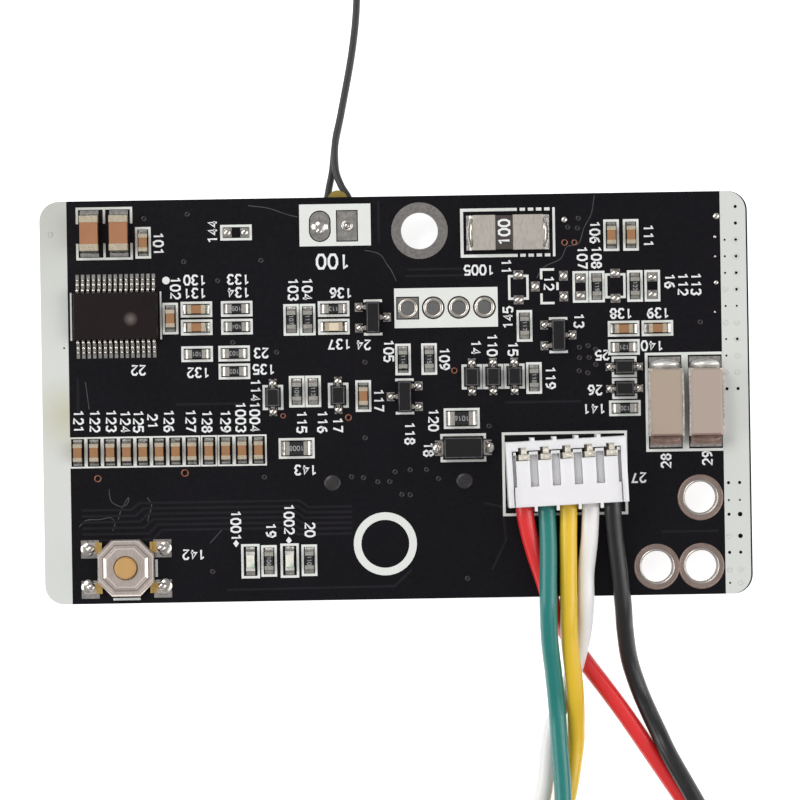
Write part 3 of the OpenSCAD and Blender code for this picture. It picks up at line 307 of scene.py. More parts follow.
# %% Sleeves and bare wire ends
sleeve_colours = {
    "red": srgb(222, 40, 42), "teal": srgb(20, 120, 114), "yellow": srgb(228, 188, 42),
    "white": srgb(236, 234, 232), "black": srgb(22, 22, 24)}
sleeves = {
    name: finish(f"sleeve_{name}", colour, roughness=0.34, mottle=0.1, mottle_mm=6, grain=0.25,
                 grain_mm=0.5, spread=0.06, coat=0.05 if name == "black" else 0.25, dark=0.8)
    for name, colour in sleeve_colours.items()}
sensor_sleeve = finish("sleeve_sensor", srgb(40, 40, 42), roughness=0.5, mottle=0.3, mottle_mm=3,
                       grain=0.3)
tinned_strands = finish("tinned_strands", srgb(200, 198, 192), roughness=0.3, metallic=1, mottle=0.5,
                        mottle_mm=0.5, grain=0.6, grain_mm=0.12)
print(len(sleeves), "sleeve colours")

# %% A curve for a wire, a tube for its bare end
def cord_curve(name, points_mm, diameter_mm, material):
    """One open spline through the points, with a round bevel of half the diameter."""
    curve = bpy.data.curves.new(name, "CURVE")
    curve.dimensions = "3D"
    curve.bevel_depth = diameter_mm / 2 * MM
    curve.bevel_resolution = 5
    curve.use_fill_caps = True
    curve.materials.append(material)
    spline = curve.splines.new("POLY")
    spline.points.add(len(points_mm) - 1)
    spline.points.foreach_set("co", np.column_stack([points_mm * MM, np.ones(len(points_mm))]).ravel())
    spline.use_smooth = True
    piece = add(name, curve)
    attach(piece, "board")
    return piece


def tube(points_mm, radius_mm, sides=16):
    """Rings of points round a centre line, each square to the line's direction, and two flat ends.
    A ring's two axes are the level direction across the line and the one square to both."""
    p = np.asarray(points_mm, float) * MM
    along = np.gradient(p, axis=0)
    along /= np.linalg.norm(along, axis=1)[:, None]
    side = np.cross(along, [0, 0, 1])
    side /= np.linalg.norm(side, axis=1)[:, None]
    over = np.cross(side, along)
    turn = np.arange(sides) * 2 * math.pi / sides
    radius = np.broadcast_to(np.asarray(radius_mm, float), len(p))[:, None, None] * MM
    rings = p[:, None] + radius * (np.cos(turn)[None, :, None] * side[:, None]
                                   + np.sin(turn)[None, :, None] * over[:, None])
    faces = grid_quads(len(p), sides).tolist()
    faces.append(list(range(sides))[::-1])
    faces.append([(len(p) - 1) * sides + i for i in range(sides)])
    return rings.reshape(-1, 3), faces


print("a tube through 5 places has", len(tube([[x, 0, 0] for x in range(5)], 1)[1]), "faces")

# %% The five wires
clockwise, anticlockwise = -1, 1
coil_radius, coil_pitch = 9.8, 1.63
sleeve_turns, strand_turns, strand_points, strand_radius = 1.82, 1.88, 5, 0.42
for name, route in wire_routes.items():
    centre, layer = wire_ends[name]
    level = wire_layers[layer]
    straight = smooth_route(route)
    straight[:, 2] = np.maximum(straight[:, 2], wire_d / 2)
    wound = spiral(centre, route[-1], coil_radius, coil_pitch, sleeve_turns, clockwise, level)
    longer = spiral(centre, route[-1], coil_radius, coil_pitch, strand_turns, clockwise, level)
    line = np.vstack([straight[:-1], wound])
    piece = cord_curve(f"wire_{name}_lead", line, wire_d, sleeves[name])
    strands = as_object(f"wire_{name}_strands", *tube(longer[-strand_points:], strand_radius),
                        material=tinned_strands, slot="pin_metal", smooth=True)
    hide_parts(f"wire_{name}", f"coil_{name}")
    print(name, "wire is", round(line_length(line), 1), "mm long")

# %% [markdown]
# ## Sensor leads
# Two thin leads start under the board, where they are soldered, come out from below its edge and run
# on together to a small epoxy bead that holds the sensing element. They end inside the bead, so each
# last stretch is a tight arc that turns out of the coil and into the bead's blunt tail.

# %% Sensor leads
def into_bead(centre, inner, bend, degrees, z):
    """An arc tighter than the turns: it leaves them at their west point, where they head down the
    Y axis, and turns left until it points along the bead. A last short step ends inside it."""
    angle = np.radians(np.linspace(180, 180 + degrees, 10))[1:]
    middle = centre[0] - inner + bend
    arc = np.stack([middle + bend * np.cos(angle), centre[1] + bend * np.sin(angle),
                    np.full_like(angle, z)], axis=-1)
    return np.vstack([arc, arc[-1] + [0.5, 0, 0]])


sensor_radius, sensor_pitch, sensor_turns = 4.6, 0.66, 2.5
bead_bend, bead_degrees = 1.4, 90
for name, route in sensor_routes.items():
    z = route[-1][2]
    turns = spiral(sensor_coil, route[-1], sensor_radius, sensor_pitch, sensor_turns, anticlockwise, z)
    inner = math.hypot(turns[-1][0] - sensor_coil[0], turns[-1][1] - sensor_coil[1])
    straight = smooth_route(route)
    straight[:, 2] = np.maximum(straight[:, 2], sensor_d / 2)
    tail = into_bead(sensor_coil, inner, bead_bend, bead_degrees, z)
    line = np.vstack([straight[:-1], turns, tail])
    piece = cord_curve(f"sensor_lead_{name}_curve", line, sensor_d, sensor_sleeve)
    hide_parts(f"sensor_lead_{name}", f"sensor_coil_{name}")
    print(name, "sensor lead is", round(line_length(line), 1), "mm long, ending at", line[-1].round(2))

# %% [markdown]
# ## Second colours
# Many finishes change from place to place: the cut edge of the board shows bare laminate, the ink
# has stains, and two fuses are never quite the same shade. A tint lays a second colour over
# a finish, by a factor that depends on the place in Object coordinates. Two materials on one mesh
# would do for sharp borders, but a tint can also fade, and it leaves the carried-over mesh alone.

# %% Tints by place
def socket_chain(material, kind, first, *values, operation=None):
    """One more node of the given kind, with a socket or number at each of its inputs."""
    node = material.node_tree.nodes.new(kind)
    if operation:
        node.operation = operation
    for index, value in enumerate((first, *values)):
        if isinstance(value, bpy.types.NodeSocket):
            material.node_tree.links.new(value, node.inputs[index])
        elif value is not None:
            node.inputs[index].default_value = value
    return node


def within(material, axis, low_mm, high_mm, mirrored=False):
    """1 where a coordinate lies between two values, 0 elsewhere: the coordinate's distance from the
    middle of the two is compared with half their difference. Mirrored, its size counts alone."""
    place = material.node_tree.nodes.new("ShaderNodeTexCoord")
    split = socket_chain(material, "ShaderNodeSeparateXYZ", place.outputs["Object"])
    value = split.outputs[axis]
    if mirrored:
        value = socket_chain(material, "ShaderNodeMath", value, operation="ABSOLUTE").outputs[0]
    middle, half = (low_mm + high_mm) / 2 * MM, (high_mm - low_mm) / 2 * MM
    return socket_chain(material, "ShaderNodeMath", value, middle, half, operation="COMPARE").outputs[0]


def near(material, place_mm, radius_mm, soft=0.5):
    """1 within a radius of a point and falling to 0 over the outer part of it, called soft."""
    place = material.node_tree.nodes.new("ShaderNodeTexCoord")
    point = tuple(v * MM for v in place_mm)
    gap = socket_chain(material, "ShaderNodeVectorMath", place.outputs["Object"], point,
                       operation="DISTANCE")
    fall = socket_chain(material, "ShaderNodeMapRange", gap.outputs["Value"],
                        radius_mm * (1 - soft) * MM, radius_mm * MM, 1.0, 0.0)
    return fall.outputs["Result"]


def tint(material, colour, factor):
    """Lay a colour over what the base colour was, where the factor is 1."""
    tree = material.node_tree
    base = tree.nodes["Principled BSDF"].inputs["Base Color"]
    mix = tree.nodes.new("ShaderNodeMix")
    mix.data_type = "RGBA"
    tree.links.new(factor, mix.inputs["Factor"])
    tree.links.new(base.links[0].from_socket, mix.inputs[6])
    mix.inputs[7].default_value = (*colour, 1)
    tree.links.new(mix.outputs[2], base)


print("a tint can lie within a band or near a place")

# %% [markdown]
# ## Board and ink
# The board is glass-epoxy under a near-black solder mask, a thin varnish that shines a little. Its
# cut edge shows the yellowish laminate between the two masks. The ink is a matt off-white, greyer
# on the two end strips, where it lies thin over a large area, with two old stains on the left one.
# Laminate, strips and stains are tints, because board and ink are one piece each.

# %% Board and ink
board_low, board_high = underside / MM, top / MM
mask_t, strip_x = 0.04, 29.9
mask = finish("solder_mask", srgb(17, 15, 20), roughness=0.32, mottle=0.6, mottle_mm=6, grain=0.1,
              grain_mm=0.4, spread=0.07, specular=0.14, dark=0.55)
tint(mask, srgb(74, 66, 44), within(mask, "Z", board_low + mask_t, board_high - mask_t))
ink = finish("ink", srgb(220, 222, 218), roughness=0.62, mottle=0.3, mottle_mm=0.8, grain=0.4,
             grain_mm=0.12, dark=0.9)
tint(ink, srgb(206, 208, 204), within(ink, "X", strip_x, strip_x + 10, mirrored=True))
tint(ink, srgb(190, 188, 168), near(ink, (-30.1, -1.2, board_high), 4, soft=0.9))
tint(ink, srgb(186, 188, 180), near(ink, (-31.4, 18, board_high), 11, soft=1.0))
number_ink = finish("number_ink", srgb(228, 230, 230), roughness=0.6, mottle=0.35, mottle_mm=0.4,
                    grain=0.3, grain_mm=0.1, dark=0.85)
print("mask", round(board_low, 2), "to", round(board_high, 2), "mm high")

# %% [markdown]
# ## Metals
# Tin, solder and plating differ in colour and in how blurred they mirror the lamps. Fresh solder is
# smooth and bright with dark pools, tin on copper rings is dull and speckled, and the thick power
# rings and the solder below the fuses have gone brown. The switch's feet are gold-plated near its
# body, and the caps of the fuses are browner at one end. A noise from dark to bright does more for
# such small parts than an exact colour.

# %% Solder and tin
solder = finish("solder", srgb(206, 202, 197), roughness=0.2, metallic=1, mottle=0.75, mottle_mm=0.45,
                grain=0.9, grain_mm=0.35, dark=0.45)
drop_solder = finish("drop_solder", srgb(212, 206, 200), roughness=0.2, metallic=1, mottle=0.4,
                     mottle_mm=0.6, grain=0.25, grain_mm=0.5, dark=0.55)
brown_solder = finish("brown_solder", srgb(160, 134, 124), roughness=0.4, metallic=0.6, mottle=0.9,
                      mottle_mm=0.5, grain=0.8, grain_mm=0.2, dark=0.55)
seam_solder = finish("seam_solder", srgb(226, 222, 216), roughness=0.3, metallic=0.4, mottle=1.0,
                     mottle_mm=0.6, grain=0.8, grain_mm=0.25, dark=0.45)
bright_solder = finish("bright_solder", srgb(242, 240, 236), roughness=0.34, metallic=0.65, mottle=0.5,
                       mottle_mm=0.8, grain=0.3, grain_mm=0.4, dark=0.7)
ring_tin = finish("ring_tin", srgb(128, 124, 121), roughness=0.55, metallic=0.55, mottle=0.9,
                  mottle_mm=0.3, grain=1.0, grain_mm=0.15, dark=0.6)
ring_brown = finish("ring_brown", srgb(146, 130, 123), roughness=0.42, metallic=0.6, mottle=0.6,
                    mottle_mm=1.4, grain=0.6, grain_mm=0.2, dark=0.6)
rim_tin = finish("rim_tin", srgb(214, 208, 200), roughness=0.22, metallic=0.9, mottle=0.5, mottle_mm=0.5,
                 grain=0.4, grain_mm=0.25, dark=0.6)
print(len(bpy.data.materials), "finishes so far")

# %% Leads, ends and sheet metal
leads = finish("leads", srgb(192, 188, 182), roughness=0.28, metallic=1, mottle=0.5, mottle_mm=0.3,
               grain=0.5, grain_mm=0.2, dark=0.5)
part_ends = finish("part_ends", srgb(196, 192, 184), roughness=0.34, metallic=0.9, mottle=0.5,
                   mottle_mm=0.4, grain=0.5, grain_mm=0.2, dark=0.6)
cap_ends = finish("cap_ends", srgb(214, 200, 176), roughness=0.3, metallic=0.6, mottle=0.6, mottle_mm=0.4,
                  grain=0.5, grain_mm=0.2, dark=0.6)
contact_tin = finish("contact_tin", srgb(246, 240, 226), roughness=0.35, metallic=0.2, mottle=0.8,
                     mottle_mm=0.4, grain=0.8, grain_mm=0.25, dark=0.55)
lamp_tin = finish("lamp_tin", srgb(232, 230, 226), roughness=0.3, metallic=0.3, mottle=0.8, mottle_mm=0.4,
                  grain=0.6, grain_mm=0.25, dark=0.5)
foot_tin = finish("foot_tin", srgb(212, 200, 190), roughness=0.28, metallic=0.7, mottle=0.5,
                  mottle_mm=0.7, grain=0.5, dark=0.6)
gold_x = (-27.8, -22.2)
tint(foot_tin, srgb(206, 172, 104), within(foot_tin, "X", *gold_x))
shunt_tin = finish("shunt_tin", srgb(200, 192, 183), roughness=0.4, metallic=0.75, mottle=0.35,
                   mottle_mm=1.2, grain=0.5, grain_mm=0.12, stretch=(1, 0.25, 1), dark=0.75)
fuse_silver = finish("fuse_silver", srgb(190, 178, 166), roughness=0.35, metallic=0.8, mottle=0.4,
                     mottle_mm=0.6, grain=0.4, dark=0.7)
lower_caps_y = (-6, -3)
tint(fuse_silver, srgb(166, 140, 130), within(fuse_silver, "Y", *lower_caps_y))
cover_steel = finish("cover_steel", srgb(212, 198, 190), roughness=0.3, metallic=0.8, mottle=0.25,
                     mottle_mm=1.5, grain=0.25, grain_mm=0.1, stretch=(1, 0.15, 1), dark=0.8)
print(len(bpy.data.materials), "finishes so far")

# %% [markdown]
# ## Ceramics, mouldings and plastics
# Capacitors are bare brown ceramic, one of them pale, resistors carry a black glaze, chips and
# diodes are moulded in near-black epoxy with a fine matt grain. The connector is white nylon, which
# lets light in and scatters it, so it gets subsurface scattering. The button is tan plastic.

# %% Ceramics and coats
small_ceramic = finish("small_ceramic", srgb(154, 110, 72), roughness=0.45, mottle=0.5, mottle_mm=0.9,
                       grain=0.3, grain_mm=0.12, dark=0.75)
pale_place = (-5.6, 6.6, board_high + 0.5)
tint(small_ceramic, srgb(214, 200, 176), near(small_ceramic, pale_place, 1.3, soft=0.1))
large_ceramic = finish("large_ceramic", srgb(162, 110, 76), roughness=0.45, mottle=0.4, mottle_mm=1.6,
                       grain=0.3, grain_mm=0.12, dark=0.8)
glaze = finish("glaze", srgb(30, 30, 32), roughness=0.3, mottle=0.4, mottle_mm=0.5, grain=0.25,
               grain_mm=0.15, specular=0.5)
element_coat = finish("element_coat", srgb(62, 54, 50), roughness=0.55, mottle=0.7, mottle_mm=0.35,
                      grain=0.8, grain_mm=0.12, stretch=(0.3, 1, 1), dark=0.5)
fuse_ceramic = finish("fuse_ceramic", srgb(168, 151, 135), roughness=0.5, mottle=0.18, mottle_mm=2,
                      grain=0.4, grain_mm=0.1, dark=0.85)
right_fuse_x = (26.5, 31)
tint(fuse_ceramic, srgb(170, 153, 142), within(fuse_ceramic, "X", *right_fuse_x))
print(len(bpy.data.materials), "finishes so far")

# %% Mouldings and resins
moulding = finish("moulding", srgb(24, 22, 24), roughness=0.36, mottle=0.35, mottle_mm=1.2, grain=0.6,
                  grain_mm=0.1, specular=0.3)
chip_moulding = finish("chip_moulding", srgb(30, 22, 22), roughness=0.5, mottle=0.3, mottle_mm=2.5,
                       grain=0.7, grain_mm=0.1, specular=0.12)
smudge_place = (-24.2, 7.6, board_high + 1.1)
tint(chip_moulding, srgb(104, 96, 92), near(chip_moulding, smudge_place, 0.7, soft=0.9))
lamp_resin = finish("lamp_resin", srgb(230, 228, 216), roughness=0.25, mottle=0.7, mottle_mm=0.5,
                    grain=0.4, grain_mm=0.3, dark=0.7)
for lamp_x in (-9.7, -13.3):
    green_place = (lamp_x, -15.3, board_high + 0.5)
    tint(lamp_resin, srgb(150, 186, 162), near(lamp_resin, green_place, 0.45, soft=0.8))
glue_resin = finish("glue_resin", srgb(158, 136, 64), roughness=0.2, mottle=0.5, mottle_mm=0.8,
                    grain=0.3, dark=0.7)
bead_epoxy = finish("bead_epoxy", srgb(32, 32, 34), roughness=0.25, mottle=0.3, grain=0.3)
print(len(bpy.data.materials), "finishes so far")

# %% Plastics
switch_nylon = finish("switch_nylon", srgb(50, 46, 44), roughness=0.5, grain=0.5)
button_plastic = finish("button_plastic", srgb(190, 150, 92), roughness=0.38, mottle=0.35, mottle_mm=1,
                        grain=0.3, grain_mm=0.15, stretch=(1, 0.4, 1), dark=0.85)
nylon = finish("nylon", srgb(234, 232, 234), roughness=0.4, mottle=0.2, mottle_mm=3, grain=0.25,
               grain_mm=0.2, dark=0.93)
set_inputs(nylon.node_tree.nodes["Principled BSDF"], {
    "Subsurface Weight": 0.85, "Subsurface Radius": (1, 0.95, 0.9), "Subsurface Scale": 1.2 * MM})
print(len(bpy.data.materials), "finishes so far")

# %% Finishes of the carried-over pieces
finishes = {
    mask: ["circuit_board"], ink: ["ink_print"], ring_tin: ["mounting_ring", "header_rings"],
    ring_brown: ["power_rings"], solder: ["sensor_pads", "spare_pads", "solder_joints"],
    leads: ["monitor_chip_leads", "small_diode_leads", "transistor_leads", "clamp_diode_leads",
            "controller_chip_leads", "power_transistor_tabs"],
    part_ends: ["chip_resistor_ends", "balance_resistor_ends"],
    cap_ends: ["large_capacitor_ends", "small_capacitor_ends"],
    shunt_tin: ["shunt_terminals"], element_coat: ["shunt_element"], fuse_silver: ["fuse_caps"],
    fuse_ceramic: ["fuse_bodies"], cover_steel: ["switch_cover"],
    foot_tin: ["switch_terminals"], lamp_tin: ["indicator_lamp_ends"],
    contact_tin: ["connector_pins", "crimp_contacts"],
    small_ceramic: ["small_capacitors"], large_ceramic: ["large_capacitors"],
    glaze: ["chip_resistors", "balance_resistors"], chip_moulding: ["monitor_chip"],
    moulding: ["small_diodes", "transistors", "clamp_diode", "power_transistors", "controller_chip"],
    lamp_resin: ["indicator_lamps"], switch_nylon: ["switch_base"], button_plastic: ["switch_button"],
    nylon: ["connector_header", "connector_plug"], glue_resin: ["lead_glue"],
    bead_epoxy: ["sensor_bead"],
}
for material, names in finishes.items():
    for name in names:
        nodes[name].data.materials.clear()
        nodes[name].data.materials.append(material)
print(sum(len(names) for names in finishes.values()), "pieces finished")

# %% [markdown]
# ## Printed numbers
# On the real board every part has a printed reference beside it. Here each place gets a plain
# running number. A digit is one or two bent lines, and a line becomes a flat bar of ink: its two
# edges run half a width away on either side. A text object would bring a printer's letter shapes,
# while such a board has lines of one even width.

# %% Bars along bent lines
def bar(points_mm, width, low, high):
    """A flat bar along a bent line in the plane. At each point the edges lie along the mitre, the
    direction half-way between the normals of both neighbours, and closed lines meet themselves."""
    p = np.asarray(points_mm, float)
    step = np.diff(p, axis=0)
    step /= np.linalg.norm(step, axis=1)[:, None]
    normal = np.stack([-step[:, 1], step[:, 0]], axis=-1)
    closed = np.allclose(p[0], p[-1])
    before = np.vstack([normal[-1] if closed else normal[0], normal])
    after = np.vstack([normal, normal[0] if closed else normal[-1]])
    mitre = before + after
    mitre /= np.maximum((mitre * after).sum(axis=1), 0.7)[:, None]
    left, right = p + mitre * width / 2, p - mitre * width / 2
    ring = np.stack([left, left, right, right], axis=1)
    heights = np.broadcast_to([low, high, high, low], ring.shape[:2])[..., None]
    faces = grid_quads(len(p), 4).tolist() + [[3, 2, 1, 0], [len(p) * 4 - 4 + i for i in range(4)]]
    return np.concatenate([ring, heights], axis=2).reshape(-1, 3) * MM, faces


print("a bar of two points has", len(bar([[0, 0], [1, 0]], 0.2, 0, 0.1)[1]), "faces")

# %% Digits
digit_lines = {
    "0": [[(0, .3), (0, .7), (.25, 1), (.75, 1), (1, .7), (1, .3), (.75, 0), (.25, 0), (0, .3)]],
    "1": [[(.15, .8), (.6, 1), (.6, 0)]],
    "2": [[(0, .78), (.25, 1), (.75, 1), (1, .75), (.95, .55), (0, 0), (1, 0)]],
    "3": [[(0, .85), (.25, 1), (.75, 1), (1, .78), (.7, .53), (1, .28), (.75, 0), (.25, 0), (0, .15)]],
    "4": [[(.75, 0), (.75, 1), (0, .3), (1, .3)]],
    "5": [[(1, 1), (.1, 1), (0, .55), (.7, .6), (1, .35), (.75, 0), (.25, 0), (0, .12)]],
    "6": [[(.9, 1), (.3, .85), (0, .35), (.25, 0), (.75, 0), (1, .3), (.7, .55), (.1, .5)]],
    "7": [[(0, 1), (1, 1), (.4, 0)]],
    "8": [[(.3, .53), (.05, .75), (.3, 1), (.7, 1), (.95, .75), (.7, .53), (.3, .53)],
          [(.3, .53), (0, .27), (.25, 0), (.75, 0), (1, .27), (.7, .53)]],
    "9": [[(.1, 0), (.7, .15), (1, .65), (.75, 1), (.25, 1), (0, .7), (.3, .45), (.9, .5)]],
}
digit_w, digit_h, digit_pitch, stroke = 0.5, 0.82, 0.72, 0.17
ink_t, ink_sink = 0.03, 0.01
ink_low, ink_high = board_high - ink_sink, board_high + ink_t


def number(text, x, y, turn, scale=1.0, level=board_high):
    """The bars of a number that is centred on a place, turned by an angle in degrees, and printed
    on a surface at a level."""
    cos, sin = math.cos(math.radians(turn)), math.sin(math.radians(turn))
    bars = []
    for index, digit in enumerate(text):
        start = (index - (len(text) - 1) / 2) * digit_pitch
        for line in digit_lines[digit]:
            u, v = np.array(line).T
            u, v = scale * (start + (u - 0.5) * digit_w), scale * (v - 0.5) * digit_h
            place = np.stack([x + cos * u - sin * v, y + sin * u + cos * v], axis=-1)
            bars.append(bar(place, stroke * min(scale, 1.3), level - ink_sink, level + ink_t))
    return bars


print(sum(len(number(str(d), 0, 0, 0)) for d in range(10)), "lines make the ten digits")

# %% Places of the numbers: x, y and how many digits
down, over, upward = -90, 180, 90
number_places = {
    down: [
        (-21.6, 14.5, 3), (-20.1, 10.4, 3), (-9.3, 10.1, 3), (-8, 10.1, 3), (-0.6, 4.3, 3),
        (18.5, 14.9, 3), (17.3, 12.6, 3), (18.6, 12.6, 3), (4.5, 3.5, 3), (8.9, 4.7, 3),
        (23.4, 14.5, 3), (26.5, 10, 3), (27.7, 10, 3), (-12.9, 0.9, 3), (-8.7, -2.1, 3),
        (-6.8, -2.1, 3), (-1.6, -0.2, 3), (1.2, -3.3, 3), (14.2, 1.6, 3), (3.4, -2.1, 3),
        (10.3, 11.9, 2), (14.2, 10.3, 2), (16.9, 6.8, 2), (7.4, 4.5, 2), (10.8, 4.3, 2),
        (25.3, 10.3, 2), (-5.4, -2.4, 2), (2.9, -4.8, 2), (-11.7, -12, 2), (-8.1, -12, 2),
        (-14.9, -11.5, 4), (-10, -11, 4), (-29.2, -1.7, 3), (-27.7, -1.7, 3), (-26.2, -1.7, 3),
        (-24.9, -1.8, 3), (-23.7, -1.8, 3), (-22.4, -1.8, 2), (-20.9, -1.8, 3), (-18.9, -1.8, 3),
        (-17.4, -1.9, 3), (-15.7, -1.9, 3), (-14.3, -1.55, 4), (-13.0, -1.55, 4)],
    over: [
        (-23.6, 2.9, 2), (-18.3, 11.1, 3), (-18.3, 9.9, 3), (-18.1, 2.6, 3), (-14.3, 11.1, 3),
        (-14.3, 9.9, 3), (-12.3, 4.3, 2), (-12.1, 2.8, 3), (-4.9, 9.7, 3), (-5.1, 5, 3),
        (-2.9, 4.9, 2), (7.8, 11.6, 4), (20.8, 7.4, 3), (24.2, 7.4, 3), (23.6, 4.4, 3),
        (19, 3.6, 2), (18.3, 0.4, 2), (18.2, -1.3, 3), (22.2, -7.7, 2), (-18.8, -14.1, 3),
        (-8.4, -6.5, 3)],
    upward: [(-16.6, 15.5, 3), (10.4, 7.2, 3), (24.7, -6.2, 2), (28.5, -6, 2)],
}
large_number_place = (-5.6, 12.6)
next_number = {2: 11, 3: 101, 4: 1001}
bars = number("100", *large_number_place, over, scale=1.5)
for turn, places in number_places.items():
    for x, y, digits in places:
        bars += number(str(next_number[digits]), x, y, turn)
        next_number[digits] += 1
wide, tall = 0.14, 0.18
for x, y in [(-14.9, -13.15), (-10.05, -12.95)]:
    diamond = [(x - wide, y), (x, y + tall), (x + wide, y), (x, y - tall), (x - wide, y)]
    bars.append(bar(diamond, 0.2, ink_low, ink_high))
as_one("printed_numbers", bars, material=number_ink, slot="white_ink")
print("numbers up to", {digits: last - 1 for digits, last in next_number.items()})

# %% [markdown]
# ## Separate solids of a piece
# A carried-over piece may hold many solids, such as every chip resistor. Finding them again gives
# the box of each, so that drops of solder and small numbers land where the parts are. Typing their
# places in again would be shorter, but the two models could then drift apart.

# %% Separate solids
def solids(name):
    """The lowest and the highest corner, in millimetres, of each separate solid of a piece. Points
    at one place share a number, and along every edge the lower number spreads until none changes."""
    mesh = nodes[name].data
    points = np.empty(len(mesh.vertices) * 3)
    mesh.vertices.foreach_get("co", points)
    points = points.reshape(-1, 3) / MM
    edges = np.empty(len(mesh.edges) * 2, int)
    mesh.edges.foreach_get("vertices", edges)
    same = np.unique(points.round(4), axis=0, return_inverse=True)[1].ravel()
    one, other = same[edges.reshape(-1, 2)].T
    group, before = np.arange(same.max() + 1), None
    while before is None or (group != before).any():
        before = group.copy()
        lower = np.minimum(group[one], group[other])
        np.minimum.at(group, one, lower)
        np.minimum.at(group, other, lower)
        group = group[group]
    labels = group[same]
    return [(points[labels == g].min(axis=0), points[labels == g].max(axis=0)) for g in np.unique(labels)]


print(len(solids("chip_resistors")), "chip resistors,", len(solids("spare_pads")), "spare pads")

# %% [markdown]
# ## Two round surfaces
# Drops of solder, rims of holes and dimples are small and many, so two plain surfaces serve them
# all: half an ellipsoid and a ring with an oval section. Both sink a little into what carries them.

# %% Domes and hoops
def dome(centre, radius_x, radius_y, height, sides=14, rows=4, sink=0.04):
    """Half an ellipsoid on a surface: at latitude a its ring is cos(a) of the radii wide and lies
    sin(a) of the height up. The top is one point, the foot a flat face just under the surface."""
    latitude = np.linspace(0, math.pi / 2, rows, endpoint=False)[:, None]
    around = np.arange(sides) * 2 * math.pi / sides
    up = height * np.sin(latitude) + 0 * around
    up[0] -= sink
    rings = np.stack([radius_x * np.cos(latitude) * np.cos(around),
                      radius_y * np.cos(latitude) * np.sin(around), up], axis=-1).reshape(-1, 3)
    last = (rows - 1) * sides
    faces = grid_quads(rows, sides).tolist() + [list(range(sides))[::-1]]
    faces += [[last + i, last + (i + 1) % sides, rows * sides] for i in range(sides)]
    return (np.vstack([rings, [0, 0, height]]) + centre) * MM, faces


def hoop(centre, radius, half_width, height, sides=20, around=8):
    """A ring with an oval section, its lower half under the surface: the distance from the middle
    is the radius plus cos(b) of the half width, and the height is sin(b) of the whole height."""
    turn = (np.arange(sides) * 2 * math.pi / sides)[:, None]
    section = np.arange(around) * 2 * math.pi / around
    reach = radius + half_width * np.cos(section)
    points = np.stack([reach * np.cos(turn), reach * np.sin(turn),
                       height * np.sin(section) + 0 * turn], axis=-1)
    i, j = np.meshgrid(np.arange(sides), np.arange(around), indexing="ij")
    beside, above = (i + 1) % sides * around, (j + 1) % around
    faces = np.stack([i * around + j, beside + j, beside + above, i * around + above], axis=-1)
    return (points.reshape(-1, 3) + centre) * MM, faces.reshape(-1, 4).tolist()


dome_faces, hoop_faces = dome((0, 0, 0), 1, 1, 1)[1], hoop((0, 0, 0), 1, 0.1, 0.1)[1]
print("a dome has", len(dome_faces), "faces, a hoop", len(hoop_faces))

# %% [markdown]
# ## Solder
# Molten solder pulls itself into round drops. Each lead of a diode or transistor sits in one, a bare
# spare pad carries a flatter one, and a chip lead shows three small beads: at its knee, on its foot
# and in front of its toe. The box of each lead says where its drop goes. Metaballs would melt into
# each other more softly, but for hundreds of drops small closed domes are lighter and stay put.

# %% Drops at the leads
def drops_at_leads(leads_name, bodies_name, along, across, rise, back, level=board_high + 0.03):
    """One drop near the outer end of every lead, its middle a little back from the end. A lead
    points along the axis in which it lies farther out of the nearest body, in body widths."""
    bodies = [((low + high) / 2, high - low) for low, high in solids(bodies_name)]
    found = []
    for low, high in solids(leads_name):
        place = (low + high) / 2
        middle, width = min(bodies, key=lambda body: np.hypot(*(place - body[0])[:2]))
        axis = int(np.argmax(np.abs(place - middle)[:2] / width[:2]))
        sign = np.sign(place[axis] - middle[axis])
        place[axis] = (high if sign > 0 else low)[axis] - sign * back
        radii = (along, across) if axis == 0 else (across, along)
        found.append(dome((place[0], place[1], level), *radii, rise))
    return found


drops = drops_at_leads("small_diode_leads", "small_diodes", 0.42, 0.42, 0.42, 0.05)
drops += drops_at_leads("transistor_leads", "transistors", 0.44, 0.38, 0.4, 0.05)
drops += drops_at_leads("clamp_diode_leads", "clamp_diode", 0.46, 0.62, 0.5, 0.1)
# Toe, foot and knee of a chip lead: how far back, how high over the board, and the bead's rise
for back, lift, rise in [(-0.12, 0.05, 0.22), (0.3, 0.16, 0.12), (0.82, 0.6, 0.13)]:
    drops += drops_at_leads("monitor_chip_leads", "monitor_chip", 0.19, 0.15, rise, back, board_high + lift)
print(len(drops), "drops at the leads")

# %% [markdown]
# ## Solder on pads and feet
# On each of the switch's feet the solder has run into three pools. One dome for each would look
# too even, so three of different size overlap and mirror the lamps in broken patches. The shunt has a
# long fillet at each end, and the sensor's right pad a drop in a ring. Specks of solder lie along
# the edge of the right end strip, and one more between the parts.

# %% Drops on the spare pads and on the switch's feet
def box_mm(name):
    """The lowest and the highest corner of a carried-over piece, in millimetres."""
    return np.array(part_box(name)) / MM


for low, high in solids("spare_pads"):
    (x, y), (half_x, half_y) = (low + high)[:2] / 2, (high - low)[:2] / 2
    drops.append(dome((x, y, board_high + 0.04), half_x * 1.02, half_y * 0.98, 0.34))
switch_x, switch_y = box_mm("switch_cover").mean(axis=0)[:2]
